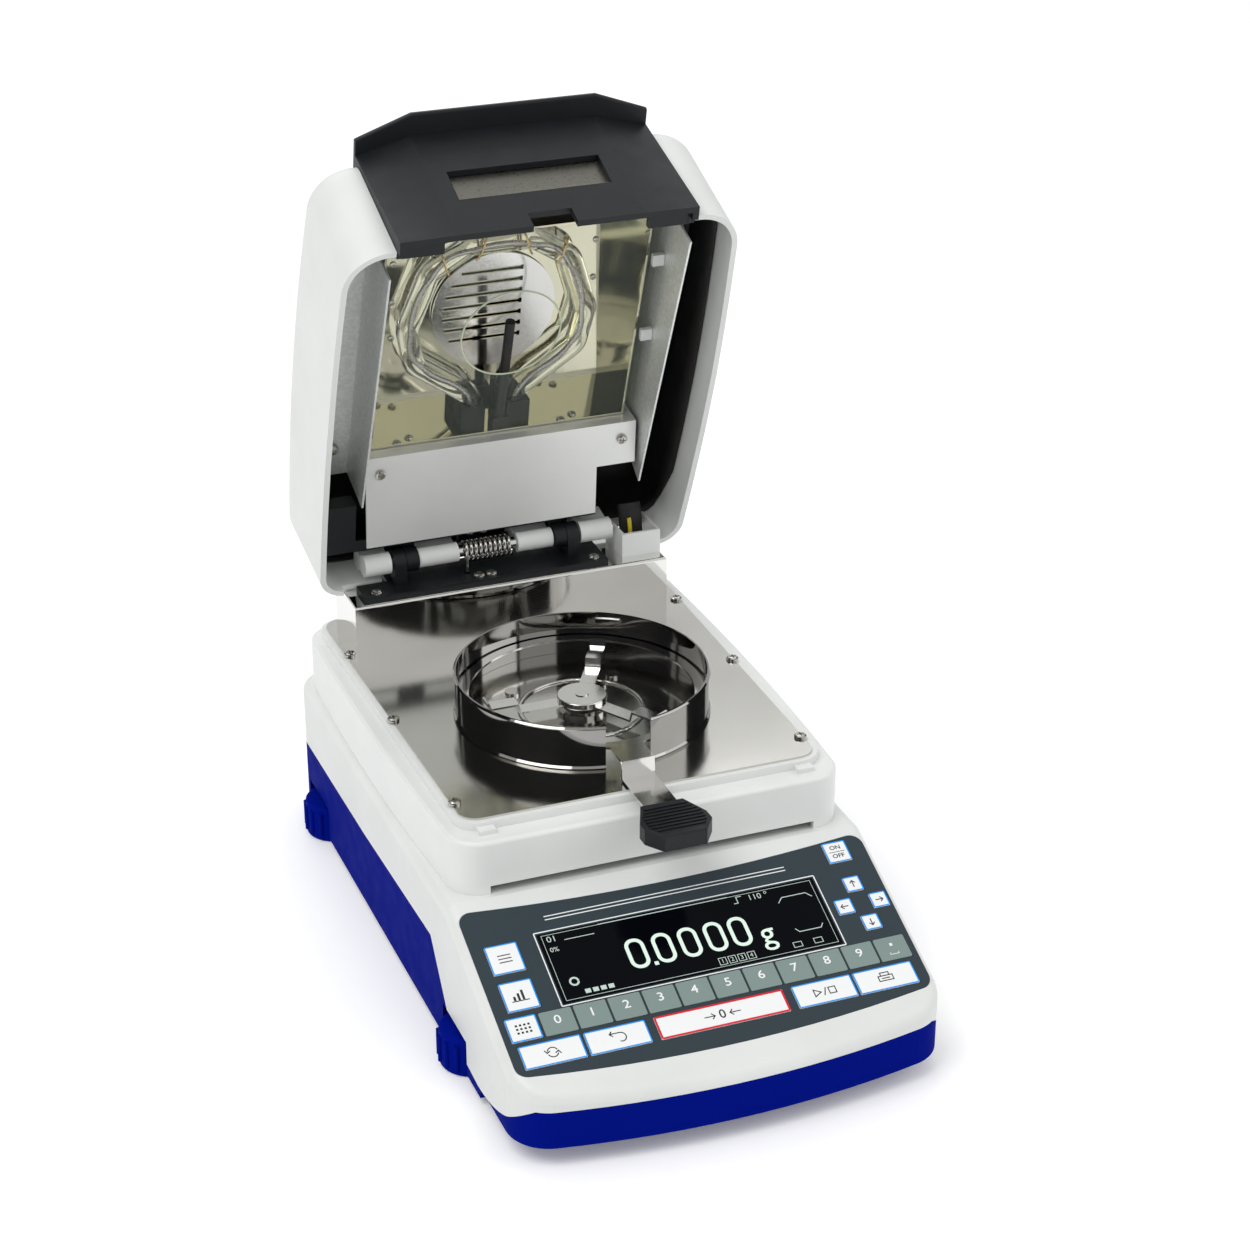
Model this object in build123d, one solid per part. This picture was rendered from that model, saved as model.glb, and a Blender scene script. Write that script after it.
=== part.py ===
from build123d import *
import math
import os

os.makedirs("parts", exist_ok=True)

# Driving dimensions in millimetres. X runs across the instrument, Y from the keypad to the
# hinge, Z up from the table. Depths are measured from the front edge of the housing.
overall_depth = 376.0      # front of the housing to the back of the open lid
overlay_width = 195.0      # printed film on the keypad
base_width = overlay_width + 7.0
base_depth = 350.0
base_bottom_z = 4.0        # underside of the lower housing
base_top_z = 76.5          # flat top of the upper housing
front_bow = 12.0           # how far the front edge bows forward
front_corner_r = 20.0
rear_corner_r = 14.0
wall = 3.0                 # moulded housing wall
edge_r = 6.0               # rounding of the upper housing edges
parting_gap = 0.2          # seam between the lower and the upper housing
step_in = 14.0             # how far the lower front edge steps in
step_top_z = 9.8
fit_gap = 0.2              # clearance round a piece that drops into a recess
seat_gap = 0.1             # clearance under a piece that lifts off

slope_angle = 22.56        # keypad slope
slope_foot_depth = 22.1    # reference point at the lower end of the keypad
slope_foot_z = 41.5

overlay_height = 86.0
overlay_bow = 5.0
overlay_corner_r = 6.0
overlay_t = 0.5
key_gap = 0.25             # play round each key in the film
key_travel = 0.5
key_proud = 0.3            # how far a key stands above the film
well_depth = 2.1           # pocket under each key

display_width = 133.0
display_height = 37.6
display_v = 29.2           # lower edge of the display above the slope's reference point
display_t = 6.0

foot_r = 14.9
foot_h = 19.0
foot_x = base_width / 2 - 8.0
foot_depths = {"front": 97.0, "rear": 317.0}
foot_rib_r = 1.2
foot_rib_count = 16
stem_r = 4.0
stem_play = 0.05
pocket_play = 2.4

tray_bottom_z = base_top_z
tray_top_z = 103.0
tray_front_depth = 109.0
tray_rear_depth = 344.0
tray_front_half = 93.5
tray_mid_half = 98.5
tray_rear_half = 96.5
tray_corner_r = 15.0
tray_wall = 3.0
tray_undercut = 4.0
rim_margin = 2.5           # raised rim left round the floor plate

plate_z = 108.0            # polished floor of the heating chamber
plate_t = 1.0
plate_front_half = 86.0
plate_rear_half = 89.5
plate_front_depth = 122.3
plate_rear_depth = 338.0
plate_corner_r = 9.0
groove_r = 29.5            # embossed ring in the floor plate
groove_w = 2.4
pad_circle_r = 37.0
pad_r = 3.6

chamber_depth = 202.8      # centre of the weighing position
column_r = 5.0
column_hole_r = 9.0
shield_r = 60.1
shield_h = 21.9
shield_t = 0.8
shield_gap = (-10.5, 11.5)
ledge_z = 117.0            # step inside the shield that carries the pan lifter
hub_r = 11.8
hub_t = 3.2
hub_top_z = 116.0
arm_reach = 46.5
arm_w = 7.5
arm_t = 1.0
arm_lift = 4.5

screw_r = 3.0
screw_h = 1.9

box_half = 82.4
box_front_depth = 299.0
box_rear_depth = 335.0
box_top_z = 131.8
sheet_t = 1.0

hinge_depth = 319.0
hinge_z = 144.0
open_angle = 77.6
shaft_r = 3.0
shaft_half = 60.0
bore_play = 0.05
knuckle_r = 6.2
knuckle_w = 6.3
knuckle_x = (-54.2, 37.1)
lid_knuckle_x = (-47.6, 30.5)
leaf_t = 2.4
leaf_x = (-76.0, 52.0)
spring_x = (-19.5, 5.5)
spring_r = 5.4
spring_wire = 1.3
spring_coils = 10
sleeve_r = 5.6

lid_wall = 2.8
lid_front_half = 93.6
lid_mid_half = 98.0
lid_rear_half = 95.5
lid_front_depth = 111.0
lid_rear_depth = 330.5
lid_corner_r = 22.0
lid_rear_r = 14.0
lid_edge_r = 11.0

panel_half = 71.5
panel_t = 3.0
window_half = 36.8
window_z = (127.0, 146.5)

web_half = 72.4            # galvanised side sheets
reflector_half = 66.0
reflector_front_depth = 135.0
reflector_rear_depth = 258.7
reflector_top_z = 176.0
reflector_mouth_z = 138.0
lamp_z = 168.0
lamp_r = 45.7
lamp_tube_r = 5.5
lamp_depth = 200.0
vent_r = 31.4
vent_depth = 198.0
glass_t = 2.0
glass_tilt = 7.3
glass_z = 147.5
glass_depth = 196.0
glass_hole_r = 25.2
sensor_x = 1.0

front_y = -overall_depth / 2


def at(depth):
    """Y of a place that lies this far behind the front edge."""
    return front_y + depth


rear_y = at(base_depth)
chamber_y = at(chamber_depth)
hinge_y = at(hinge_depth)
slope = math.radians(slope_angle)
keypad = Plane(
    origin=(0, at(slope_foot_depth), slope_foot_z),
    x_dir=(1, 0, 0),
    z_dir=(0, -math.sin(slope), math.cos(slope)),
)


def block(x0, x1, y0, y1, z0, z1):
    centre = Pos((x0 + x1) / 2, (y0 + y1) / 2, (z0 + z1) / 2)
    return centre * Box(x1 - x0, y1 - y0, z1 - z0)


def post(x, y, z0, z1, radius):
    return Pos(x, y, (z0 + z1) / 2) * Cylinder(radius, z1 - z0)


def bar(y, z, x0, x1, radius):
    """Round bar along X."""
    return Pos((x0 + x1) / 2, y, z) * Rot(0, 90, 0) * Cylinder(radius, x1 - x0)


def prism(points, x0, x1):
    """Side profile in (Y, Z), extruded from x0 to x1."""
    face = Plane.YZ.offset(x0) * make_face(Polyline(*points, close=True))
    return extrude(face, amount=x1 - x0, dir=(1, 0, 0))


def plan_face(front, mid, rear, y_front, y_rear, bow, r_front, r_rear):
    """Rounded outline with bulging sides and a bowed front edge."""
    y_side = y_front + bow
    y_mid = (y_side + y_rear) / 2
    edges = [Line((rear, y_rear), (-rear, y_rear))]
    if bow:
        edges.append(ThreePointArc((-front, y_side), (0, y_front), (front, y_side)))
    else:
        edges.append(Line((-front, y_side), (front, y_side)))
    for side in (-1, 1):
        if mid > max(front, rear):
            arc = ThreePointArc(
                (side * front, y_side), (side * mid, y_mid), (side * rear, y_rear)
            )
        else:
            arc = Line((side * front, y_side), (side * rear, y_rear))
        edges.append(arc)
    face = make_face(edges)
    corners = face.vertices().sort_by(Axis.Y)
    face = fillet(corners[:2], r_front)
    rear_corners = [v for v in face.vertices() if abs(v.Y - y_rear) < 0.01]
    return fillet(rear_corners, r_rear)


# Lower and upper housing share one outer form, split along a parting line.
slope_run = (base_top_z - slope_foot_z) / math.tan(slope)
crease_depth = slope_foot_depth + slope_run
slope_front_z = slope_foot_z - (slope_foot_depth + 20) * math.tan(slope)


def housing_block(inset):
    half = base_width / 2 - inset
    outline = plan_face(
        half, half, half, at(inset), rear_y - inset, front_bow,
        front_corner_r - inset, rear_corner_r - inset,
    )
    z0 = base_bottom_z + inset
    z1 = base_top_z - inset
    body = extrude(Pos(0, 0, z0) * outline, amount=z1 - z0, dir=(0, 0, 1))
    drop = inset / math.cos(slope)
    crease = crease_depth + (drop - inset) / math.tan(slope)
    above_slope = [
        (at(-20), slope_front_z - drop), (at(crease), z1), (at(crease), z1 + 50), (at(-20), z1 + 50)
    ]
    return body - prism(above_slope, -base_width, base_width)


outer_block = housing_block(0)
crease_y = at(crease_depth)


def is_upper_edge(edge):
    box = edge.bounding_box()
    level = box.max.Z > slope_foot_z - 14
    upright = box.max.Z - box.min.Z > 5 and box.max.Y - box.min.Y < 1 and box.max.X - box.min.X < 1
    on_crease = abs(box.min.Y - crease_y) < 0.1 and abs(box.max.Y - crease_y) < 0.1
    return level and not upright and not on_crease


outer_block = fillet([e for e in outer_block.edges() if is_upper_edge(e)], edge_r)
inner_block = housing_block(wall)
housing_shell = outer_block - inner_block


def lower_region(rise):
    """Everything under the parting line, which swoops down beside the keypad."""
    far = base_depth + 10
    outline = make_face([
        Line((at(-10), -10), (at(far), -10)),
        Line((at(far), -10), (at(far), 41 + rise)),
        Line((at(far), 41 + rise), (at(234), 43.5 + rise)),
        Line((at(234), 43.5 + rise), (at(129), 48.5 + rise)),
        Line((at(129), 48.5 + rise), (at(100), 11.5 + rise)),
        Line((at(100), 11.5 + rise), (at(66), 8.5 + rise)),
        ThreePointArc((at(66), 8.5 + rise), (at(36), 14 + rise), (at(12), 28 + rise)),
        Line((at(12), 28 + rise), (at(-10), 28 + rise)),
        Line((at(-10), 28 + rise), (at(-10), -10)),
    ])
    face = Plane.YZ.offset(-base_width) * outline
    return extrude(face, amount=2 * base_width, dir=(1, 0, 0))


pocket_top_z = foot_h + 2.5
feet = {
    f"{row}_{side}": (sign * foot_x, at(depth))
    for row, depth in foot_depths.items()
    for side, sign in (("left", -1), ("right", 1))
}
pocket_r = foot_r + foot_rib_r + pocket_play
pocket_wall = 2.4
boss_top_z = pocket_top_z + 14


def front_band(outer, inner, z1):
    """Band along the front of the outline, between two insets, up to z1."""
    half = base_width / 2
    band = plan_face(half - outer, 0, half - outer, at(outer), at(62), front_bow, front_corner_r, 1)
    band -= plan_face(half - inner, 0, half - inner, at(inner), at(80), front_bow, front_corner_r, 1)
    return extrude(Pos(0, 0, base_bottom_z) * band, amount=z1 - base_bottom_z, dir=(0, 0, 1))


# The lower edge steps in along the front, with a liner behind it.
base_shell = (housing_shell + front_band(1, step_in + wall, step_top_z + 3)) & lower_region(0)
base_shell -= front_band(-4, step_in, step_top_z)
top_housing = housing_shell - lower_region(parting_gap)
for x, y in feet.values():
    sleeve = post(x, y, base_bottom_z, pocket_top_z + pocket_wall, pocket_r + pocket_wall)
    sleeve &= inner_block + block(-80, 80, at(20), rear_y - 20, base_bottom_z, base_bottom_z + wall)
    boss = post(x, y, pocket_top_z, boss_top_z, stem_r + 3.5) & inner_block
    base_shell += sleeve
    base_shell += boss
for x, y in feet.values():
    pocket = post(x, y, base_bottom_z - 1, pocket_top_z, pocket_r)
    base_shell -= pocket
    top_housing -= pocket
    base_shell -= post(x, y, pocket_top_z - 1, boss_top_z + 1, stem_r + stem_play)

# Board posts and the pedestal for the load cell stand on the floor of the lower housing.
floor_z = base_bottom_z + wall
board_z = floor_z + 6
board_half = 66.0
board_depth = (273.0, 342.0)
for x in (-board_half + 6, board_half - 6):
    for depth in (board_depth[0] + 6, board_depth[1] - 6):
        base_shell += post(x, at(depth), floor_z - 0.5, board_z, 3.0)

# Rear sockets: an appliance inlet and an interface connector on the board's rear edge.
inlet_x = -34.0
inlet_w = 30.0
inlet_z = (board_z + 1.6, board_z + 23.6)
serial_x = 30.0
serial_w = 32.0
serial_z = (board_z + 1.6, board_z + 14.1)
for x, w, (z0, z1) in ((inlet_x, inlet_w, inlet_z), (serial_x, serial_w, serial_z)):
    opening = block(
        x - w / 2 - fit_gap, x + w / 2 + fit_gap, rear_y - wall - 1, rear_y + 1,
        z0 - fit_gap, z1 + fit_gap,
    )
    base_shell -= opening
board = block(-board_half, board_half, at(board_depth[0]), at(board_depth[1]), board_z, board_z + 1.6)
inlet = block(
    inlet_x - inlet_w / 2, inlet_x + inlet_w / 2, at(board_depth[1] - 12), rear_y - 0.5, *inlet_z
)
inlet -= block(
    inlet_x - 11, inlet_x + 11, rear_y - 9, rear_y, inlet_z[0] + 4, inlet_z[1] - 4
)
for dx in (-6, 0, 6):
    blade_z = (inlet_z[0] + inlet_z[1]) / 2 + (2 if dx == 0 else -2)
    inlet += block(inlet_x + dx - 1, inlet_x + dx + 1, rear_y - 10, rear_y - 6.6, blade_z - 2, blade_z + 2)
serial = block(
    serial_x - serial_w / 2, serial_x + serial_w / 2, at(board_depth[1] - 10), rear_y - 0.5, *serial_z
)
serial -= block(serial_x - 9, serial_x + 9, rear_y - 5, rear_y, serial_z[0] + 2.5, serial_z[1] - 2.5)
chips = [
    block(x - 9, x + 9, at(d) - 9, at(d) + 9, board_z + 1.6, board_z + 5)
    for x, d in ((-40, 290), (0, 286), (38, 298))
]
main_board = board + inlet + serial + chips

# Load cell: a slotted bending beam on a pedestal, with the column that carries the pan.
cell_z = 26.0
beam_half = 12.0
beam_y = (chamber_y - 14, chamber_y + 66)
load_cell = block(-beam_half, beam_half, beam_y[0], beam_y[1], cell_z, cell_z + 24)
for z in (cell_z + 6, cell_z + 18):
    load_cell -= block(-30, 30, beam_y[0] + 18, beam_y[1] - 20, z - 1.2, z + 1.2)
    for y in (beam_y[0] + 18, beam_y[1] - 20):
        load_cell -= bar(y, z, -30, 30, 3.4)
load_cell += block(-beam_half, beam_half, beam_y[1] - 16, beam_y[1], floor_z, cell_z)
column_top_z = 98.0
load_cell += post(0, chamber_y, cell_z + 20, column_top_z, column_r)
stem_depth = 8.0
load_cell -= post(0, chamber_y, column_top_z - stem_depth, column_top_z + 1, 3.1)

# Keypad film, with a window for every key and one for the display.
numeric_keys = [f"key_{n}" for n in range(10)] + ["key_point"]
key_pitch = 15.87
keys = {
    name: (-79.0 + i * key_pitch, 15.2, 14.8, 12.1) for i, name in enumerate(numeric_keys)
}
keys["menu_key"] = (-91.2, 50.4, 14.9, 15.2)
keys["method_key"] = (-91.2, 30.6, 14.9, 15.1)
keys["letter_key"] = (-94.4, 15.4, 14.1, 12.1)
bottom_row = {"unit_key": (-93.0, 28.1), "reset_key": (-63.4, 28.2), "tare_key": (-31.1, 60.7),
              "start_key": (33.8, 28.4), "print_key": (63.4, 28.6)}
for name, (u, width) in bottom_row.items():
    keys[name] = (u, 1.2, width, 11.7)
keys["power_key"] = (77.7, 71.9, 11.4, 11.4)
arrow_size = 8.1
arrows = {"up_key": (79.5, 54.8), "down_key": (79.5, 33.0), "left_key": (70.8, 43.8),
          "right_key": (88.0, 43.8)}
for name, (u, v) in arrows.items():
    keys[name] = (u, v, arrow_size, arrow_size)

# Keys keep their share of the film's width.
spread = overlay_width / 195.0
keys = {name: (u * spread, v, width * spread, h) for name, (u, v, width, h) in keys.items()}


def on_slope(u, v, width, height, n0, n1):
    """Box on the keypad slope, from n0 to n1 along its normal."""
    centre = Pos(u + width / 2, v + height / 2, (n0 + n1) / 2)
    return keypad * centre * Box(width, height, n1 - n0)


def overlay_face(grow):
    half = overlay_width / 2 + grow
    low = -1.3 - grow
    high = overlay_height + grow
    face = make_face([
        ThreePointArc((-half, low), (0, low - overlay_bow - 2), (half, low)),
        Line((half, low), (half, high)),
        ThreePointArc((half, high), (0, high - overlay_bow), (-half, high)),
        Line((-half, high), (-half, low)),
    ])
    return fillet(face.vertices(), overlay_corner_r)


film_recess = extrude(keypad * overlay_face(fit_gap), amount=-overlay_t, dir=keypad.z_dir)
top_housing -= film_recess
keypad_overlay = extrude(
    keypad * overlay_face(0), amount=-overlay_t, dir=keypad.z_dir
)
display_box = (-display_width / 2, display_v, display_width, display_height)
keypad_overlay -= on_slope(*display_box, -2, 2)
top_housing -= on_slope(
    display_box[0] - fit_gap, display_v - fit_gap,
    display_width + 2 * fit_gap, display_height + 2 * fit_gap, -10, 2,
)
display_module = on_slope(
    display_box[0] + fit_gap, display_v + fit_gap,
    display_width - 2 * fit_gap, display_height - 2 * fit_gap, -wall - 1, 0,
)
display_module += on_slope(
    display_box[0] - 5, display_v - 5, display_width + 10, display_height + 10,
    -wall - display_t, -wall - fit_gap,
)
key_bottom = -well_depth + key_travel + 0.1
key_solids = {}
for name, (u, v, width, height) in keys.items():
    window = (u - key_gap, v - key_gap, width + 2 * key_gap, height + 2 * key_gap)
    keypad_overlay -= on_slope(*window, -2, 2)
    top_housing -= on_slope(*window, -well_depth, 2)
    pad = on_slope(u, v, width, height, key_bottom, key_proud)
    upright = [e for e in pad.edges() if abs(e.tangent_at(0.5).dot(keypad.z_dir)) > 0.99]
    key_solids[name] = fillet(upright, 0.7)

# A hole in the top lets the load cell's column through.
top_housing -= post(0, chamber_y, base_top_z - 10, base_top_z + 1, column_hole_r + 5)

# Levelling feet: ribbed wheels on a threaded stem, sunk into pockets of the lower housing.
foot_solids = {}
for name, (x, y) in feet.items():
    wheel = post(x, y, 0, foot_h, foot_r)
    wheel = fillet(wheel.edges().filter_by(GeomType.CIRCLE), 1.5)
    for i in range(foot_rib_count):
        a = math.radians(360 * i / foot_rib_count)
        wheel += post(x + foot_r * math.cos(a), y + foot_r * math.sin(a), 3, foot_h - 3, foot_rib_r)
    wheel += post(x, y, foot_h - 1, boss_top_z - 1, stem_r)
    foot_solids[f"foot_{name}"] = wheel

# Heating tray: a moulded pan that stands on the upper housing on two front feet.
tray_plan = plan_face(
    tray_front_half, tray_mid_half, tray_rear_half, at(tray_front_depth), at(tray_rear_depth),
    0, tray_corner_r, tray_corner_r,
)


def plate_plan(grow):
    return plan_face(
        plate_front_half + grow, 0, plate_rear_half + grow, at(plate_front_depth) - grow,
        at(plate_rear_depth) + grow, 0, plate_corner_r + grow, plate_corner_r + grow,
    )


heating_tray = extrude(
    Pos(0, 0, tray_bottom_z) * tray_plan, amount=tray_top_z - tray_bottom_z, dir=(0, 0, 1)
)
heating_tray = fillet(heating_tray.faces().sort_by(Axis.Z)[-1].edges(), 2.0)
hollow = extrude(
    Pos(0, 0, tray_bottom_z - 1) * offset(tray_plan, -tray_wall),
    amount=tray_top_z - tray_bottom_z + 1 - tray_wall, dir=(0, 0, 1),
)
heating_tray -= hollow
heating_tray += extrude(
    Pos(0, 0, tray_top_z - 1) * plate_plan(rim_margin),
    amount=plate_z - plate_t - tray_top_z + 1, dir=(0, 0, 1),
)
undercut_half = tray_front_half - 15
heating_tray -= block(
    -undercut_half, undercut_half, at(tray_front_depth - 5), at(tray_front_depth + 8),
    tray_bottom_z - 1, tray_bottom_z + tray_undercut,
)
heating_tray -= post(0, chamber_y, tray_bottom_z, plate_z + 1, column_hole_r)
for side in (-1, 1):
    heating_tray += block(
        side * 77 - 4, side * 77 + 4, at(115.5), at(120.5), tray_top_z - 1, tray_top_z + 2.2
    )

# Polished floor plate with an embossed ring, a collar and three round pads.
floor_plate = extrude(
    Pos(0, 0, plate_z - plate_t) * plate_plan(0), amount=plate_t, dir=(0, 0, 1)
)
ring = post(0, chamber_y, plate_z - 0.2, plate_z + 1.1, groove_r + groove_w / 2)
ring -= post(0, chamber_y, plate_z - 1, plate_z + 2, groove_r - groove_w / 2)
ring = fillet(ring.faces().sort_by(Axis.Z)[-1].edges(), 0.9)
floor_plate += ring
floor_plate += post(0, chamber_y, plate_z - 0.2, plate_z + 1.8, column_hole_r + 3.2)
floor_plate -= post(0, chamber_y, plate_z - 5, plate_z + 5, column_hole_r)
for angle in (46, 134, 270):
    a = math.radians(angle)
    x = pad_circle_r * math.cos(a)
    y = chamber_y + pad_circle_r * math.sin(a)
    floor_plate += post(x, y, plate_z - 0.2, plate_z + 1.4, pad_r)

# Wind shield: a rolled ring with a gap for the lifter and an inner step that carries it.
shield_bottom = plate_z + seat_gap
shield_top = plate_z + shield_h
outer_r = shield_r
inner_r = shield_r - shield_t
ledge_r = shield_r - 3.0
profile = make_face(Polyline(
    (inner_r, shield_bottom), (outer_r, shield_bottom), (outer_r + 0.9, shield_bottom + 0.9),
    (outer_r, shield_bottom + 1.8), (outer_r, shield_top - 1.6), (outer_r + 0.7, shield_top - 0.8),
    (outer_r, shield_top), (inner_r, shield_top), (inner_r, ledge_z), (ledge_r, ledge_z),
    (ledge_r, ledge_z - 0.8), (inner_r, ledge_z - 0.8), close=True,
))
wind_shield = Pos(0, chamber_y, 0) * revolve(Plane.XZ * profile, Axis.Z)
wind_shield -= block(
    *shield_gap, chamber_y - shield_r - 5, chamber_y - 40, plate_z, shield_top + 5
)

# Pan support: a hub with three stepped arms on a stem that sits in the load cell's column.
hub_bottom = hub_top_z - hub_t
pan_support = post(0, chamber_y, hub_bottom, hub_top_z, hub_r)
pan_support = fillet(pan_support.edges().filter_by(GeomType.CIRCLE), 0.5)
pan_support += post(0, chamber_y, column_top_z - stem_depth + seat_gap, hub_bottom + 1, 3.0)
pan_support += post(0, chamber_y, hub_bottom - 2.2, hub_bottom, hub_r - 4.5)
pan_support += post(0, chamber_y, hub_top_z - 0.5, hub_top_z + 0.4, 3.2)
arm_z = hub_bottom + 0.6
step_r = 32.0
arm_path = Polyline(
    (hub_r - 5, arm_z), (step_r, arm_z), (step_r + 1.2, arm_z + arm_lift),
    (arm_reach, arm_z + arm_lift), (arm_reach + 1.5, arm_z + arm_lift + 3.5),
)
arm_face = trace(arm_path, arm_t)
for angle in (-60, 60, 180):
    arm = extrude(Plane.XZ * arm_face, amount=arm_w / 2, both=True)
    pan_support += Pos(0, chamber_y, 0) * Rot(0, 0, angle) * arm

# Pan lifter: a flat ring inside the shield on a strip that steps down to the handle.
strip_w = 16.0
strip_z = plate_z + 0.3
strip_t = 1.0
lift_r = (53.5, inner_r - 1.0)
ring_z = ledge_z + seat_gap
pan_lifter = post(0, chamber_y, ring_z, ring_z + strip_t, lift_r[1])
pan_lifter -= post(0, chamber_y, ring_z - 1, ring_z + 5, lift_r[0])
riser_y = chamber_y - shield_r - 12
strip_path = Polyline(
    (chamber_y - lift_r[0] - 1, ring_z + strip_t / 2), (riser_y, ring_z + strip_t / 2),
    (riser_y - 0.8, strip_z + strip_t / 2), (riser_y - 53, strip_z + strip_t / 2),
)
strip_face = Plane.YZ * trace(strip_path, strip_t)
pan_lifter += extrude(strip_face, amount=strip_w / 2, both=True)

# Moulded grip pushed over the end of the strip, ribbed on top.
grip_back = riser_y - 28.7
grip_points = [(10.2, 0), (16, -14), (16, -20), (10, -29)]
grip_outline = [(x, grip_back + dy) for x, dy in grip_points]
grip_outline += [(-x, y) for x, y in reversed(grip_outline)]
grip_z = (strip_z - 5.2, strip_z + 2.6)
lifter_handle = extrude(
    Pos(0, 0, grip_z[0]) * make_face(Polyline(*grip_outline, close=True)),
    amount=grip_z[1] - grip_z[0], dir=(0, 0, 1),
)
lifter_handle = fillet(lifter_handle.faces().sort_by(Axis.Z)[-1].edges(), 0.8)
lifter_handle -= block(
    -strip_w / 2 - fit_gap, strip_w / 2 + fit_gap, riser_y - 53 - fit_gap, grip_back + 1,
    strip_z - 0.1, strip_z + strip_t + 0.1,
)
for i in range(8):
    y = grip_back - 4.5 - 2.7 * i
    reach = min(8.5 + 0.42 * (grip_back - y), 13.5) - max(0, grip_back - y - 20) * 0.6
    lifter_handle += block(-reach, reach, y - 0.5, y + 0.5, grip_z[1] - 0.5, grip_z[1] + 0.5)

# Sheet-metal box that carries the hinge, open underneath.
hinge_box = block(-box_half, box_half, at(box_front_depth), at(box_rear_depth), plate_z, box_top_z)
hinge_box = fillet(
    [e for e in hinge_box.edges() if e.center().Z > box_top_z - 0.1], 1.5
)
hinge_box -= block(
    -box_half + sheet_t, box_half - sheet_t, at(box_front_depth) + sheet_t,
    at(box_rear_depth) - sheet_t, plate_z - 1, box_top_z - sheet_t,
)

# Lower leaf: a black strip on the box with two straps up to the hinge shaft.
leaf_top = box_top_z + leaf_t
leaf_y = (at(303), at(331))
hinge_lower_leaf = block(*leaf_x, *leaf_y, box_top_z, leaf_top)
for x in knuckle_x:
    x0 = x - knuckle_w / 2
    strap = block(x0, x0 + knuckle_w, hinge_y - knuckle_r, hinge_y + knuckle_r, leaf_top - 1, hinge_z)
    hinge_lower_leaf += strap
    hinge_lower_leaf += bar(hinge_y, hinge_z, x0, x0 + knuckle_w, knuckle_r)
hinge_lower_leaf -= bar(hinge_y, hinge_z, leaf_x[0], leaf_x[1], shaft_r + bore_play)
hinge_lower_leaf -= block(leaf_x[0] - 1, -shaft_half, at(318.5), at(333), box_top_z - 1, leaf_top + 1)
leg_slot_x = spring_x[0]
hinge_lower_leaf -= block(
    leg_slot_x - 1.5, leg_slot_x + 1.5, hinge_y - spring_r - 2, hinge_y - spring_r + 2,
    box_top_z + 0.8, leaf_top + 1,
)

hinge_shaft = bar(hinge_y, hinge_z, -shaft_half, shaft_half, shaft_r)
hinge_shaft = fillet(hinge_shaft.edges().filter_by(GeomType.CIRCLE), 0.5)

# Torsion spring round the shaft; its lower leg stands in the lower leaf's slot.
pitch = (spring_x[1] - spring_x[0]) / spring_coils
coil_path = Helix(pitch=pitch, height=spring_x[1] - spring_x[0], radius=spring_r)
coil_profile = Plane(coil_path @ 0, z_dir=coil_path % 0) * Circle(spring_wire / 2)
hinge_spring = sweep(coil_profile, path=coil_path)
hinge_spring = Pos(spring_x[0], hinge_y, hinge_z) * Rot(0, 90, 0) * Rot(0, 0, 90) * hinge_spring
hinge_spring += post(
    leg_slot_x, hinge_y - spring_r, box_top_z + 1.2, hinge_z, spring_wire / 2
)

# Cable duct: an open white box at the right end of the hinge, with the lamp lead in it.
duct_x = (61.2, 81.9)
duct_y = (at(307), at(331))
duct_top_z = 144.2
duct_wall = 1.6
cable_duct = block(*duct_x, *duct_y, box_top_z, duct_top_z)
cable_duct -= block(
    duct_x[0] + duct_wall, duct_x[1] - duct_wall, duct_y[0] + duct_wall, duct_y[1] + 1,
    box_top_z + duct_wall, duct_top_z + 1,
)
lead_x = 71.5
lead_z = box_top_z + duct_wall
lead_path = Spline(
    (lead_x, at(321.4), lead_z - 1), (lead_x, at(321.8), hinge_z - 2), (lead_x, at(325.0), hinge_z + 9)
)
sleeve_end = Plane(lead_path @ 0, x_dir=(1, 0, 0), z_dir=lead_path % 0)
lamp_cable = [sweep(sleeve_end * Ellipse(6.2, 3.6), path=lead_path)]
wire_path = Spline(
    (lead_x - 2.5, at(316.2), lead_z - 1), (lead_x - 2.5, at(316.3), hinge_z - 2),
    (lead_x - 2.5, at(317.9), hinge_z + 4),
)
wire_end = Plane(wire_path @ 0, z_dir=wire_path % 0)
lamp_cable.append(sweep(wire_end * Circle(1.1), path=wire_path))
lamp_cable = [part - block(*duct_x, *duct_y, lead_z - 5, lead_z + 0.02) for part in lamp_cable]

# The lid is drawn closed and swung open about the hinge at the end.
lid_top = [
    (at(lid_front_depth - 3), 175.5), (at(lid_front_depth + 104), 190.5), (at(lid_rear_depth), 203.0)
]
rim_line = [
    (at(lid_front_depth - 11), 104.4), (at(lid_front_depth + 8.2), 107.7),
    (at(lid_front_depth + 18), 109.7), (at(218.7), 121.0), (at(268.5), 128.5), (at(340), 139.5),
]


def lid_profile(inset):
    outline = make_face([
        Line((at(lid_front_depth + 10.9), 90), lid_top[0]),
        ThreePointArc(*lid_top),
        Line(lid_top[2], (at(lid_rear_depth), 90)),
        Line((at(lid_rear_depth), 90), (at(lid_front_depth + 10.9), 90)),
    ])
    return offset(outline, -inset, kind=Kind.INTERSECTION) if inset else outline


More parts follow.
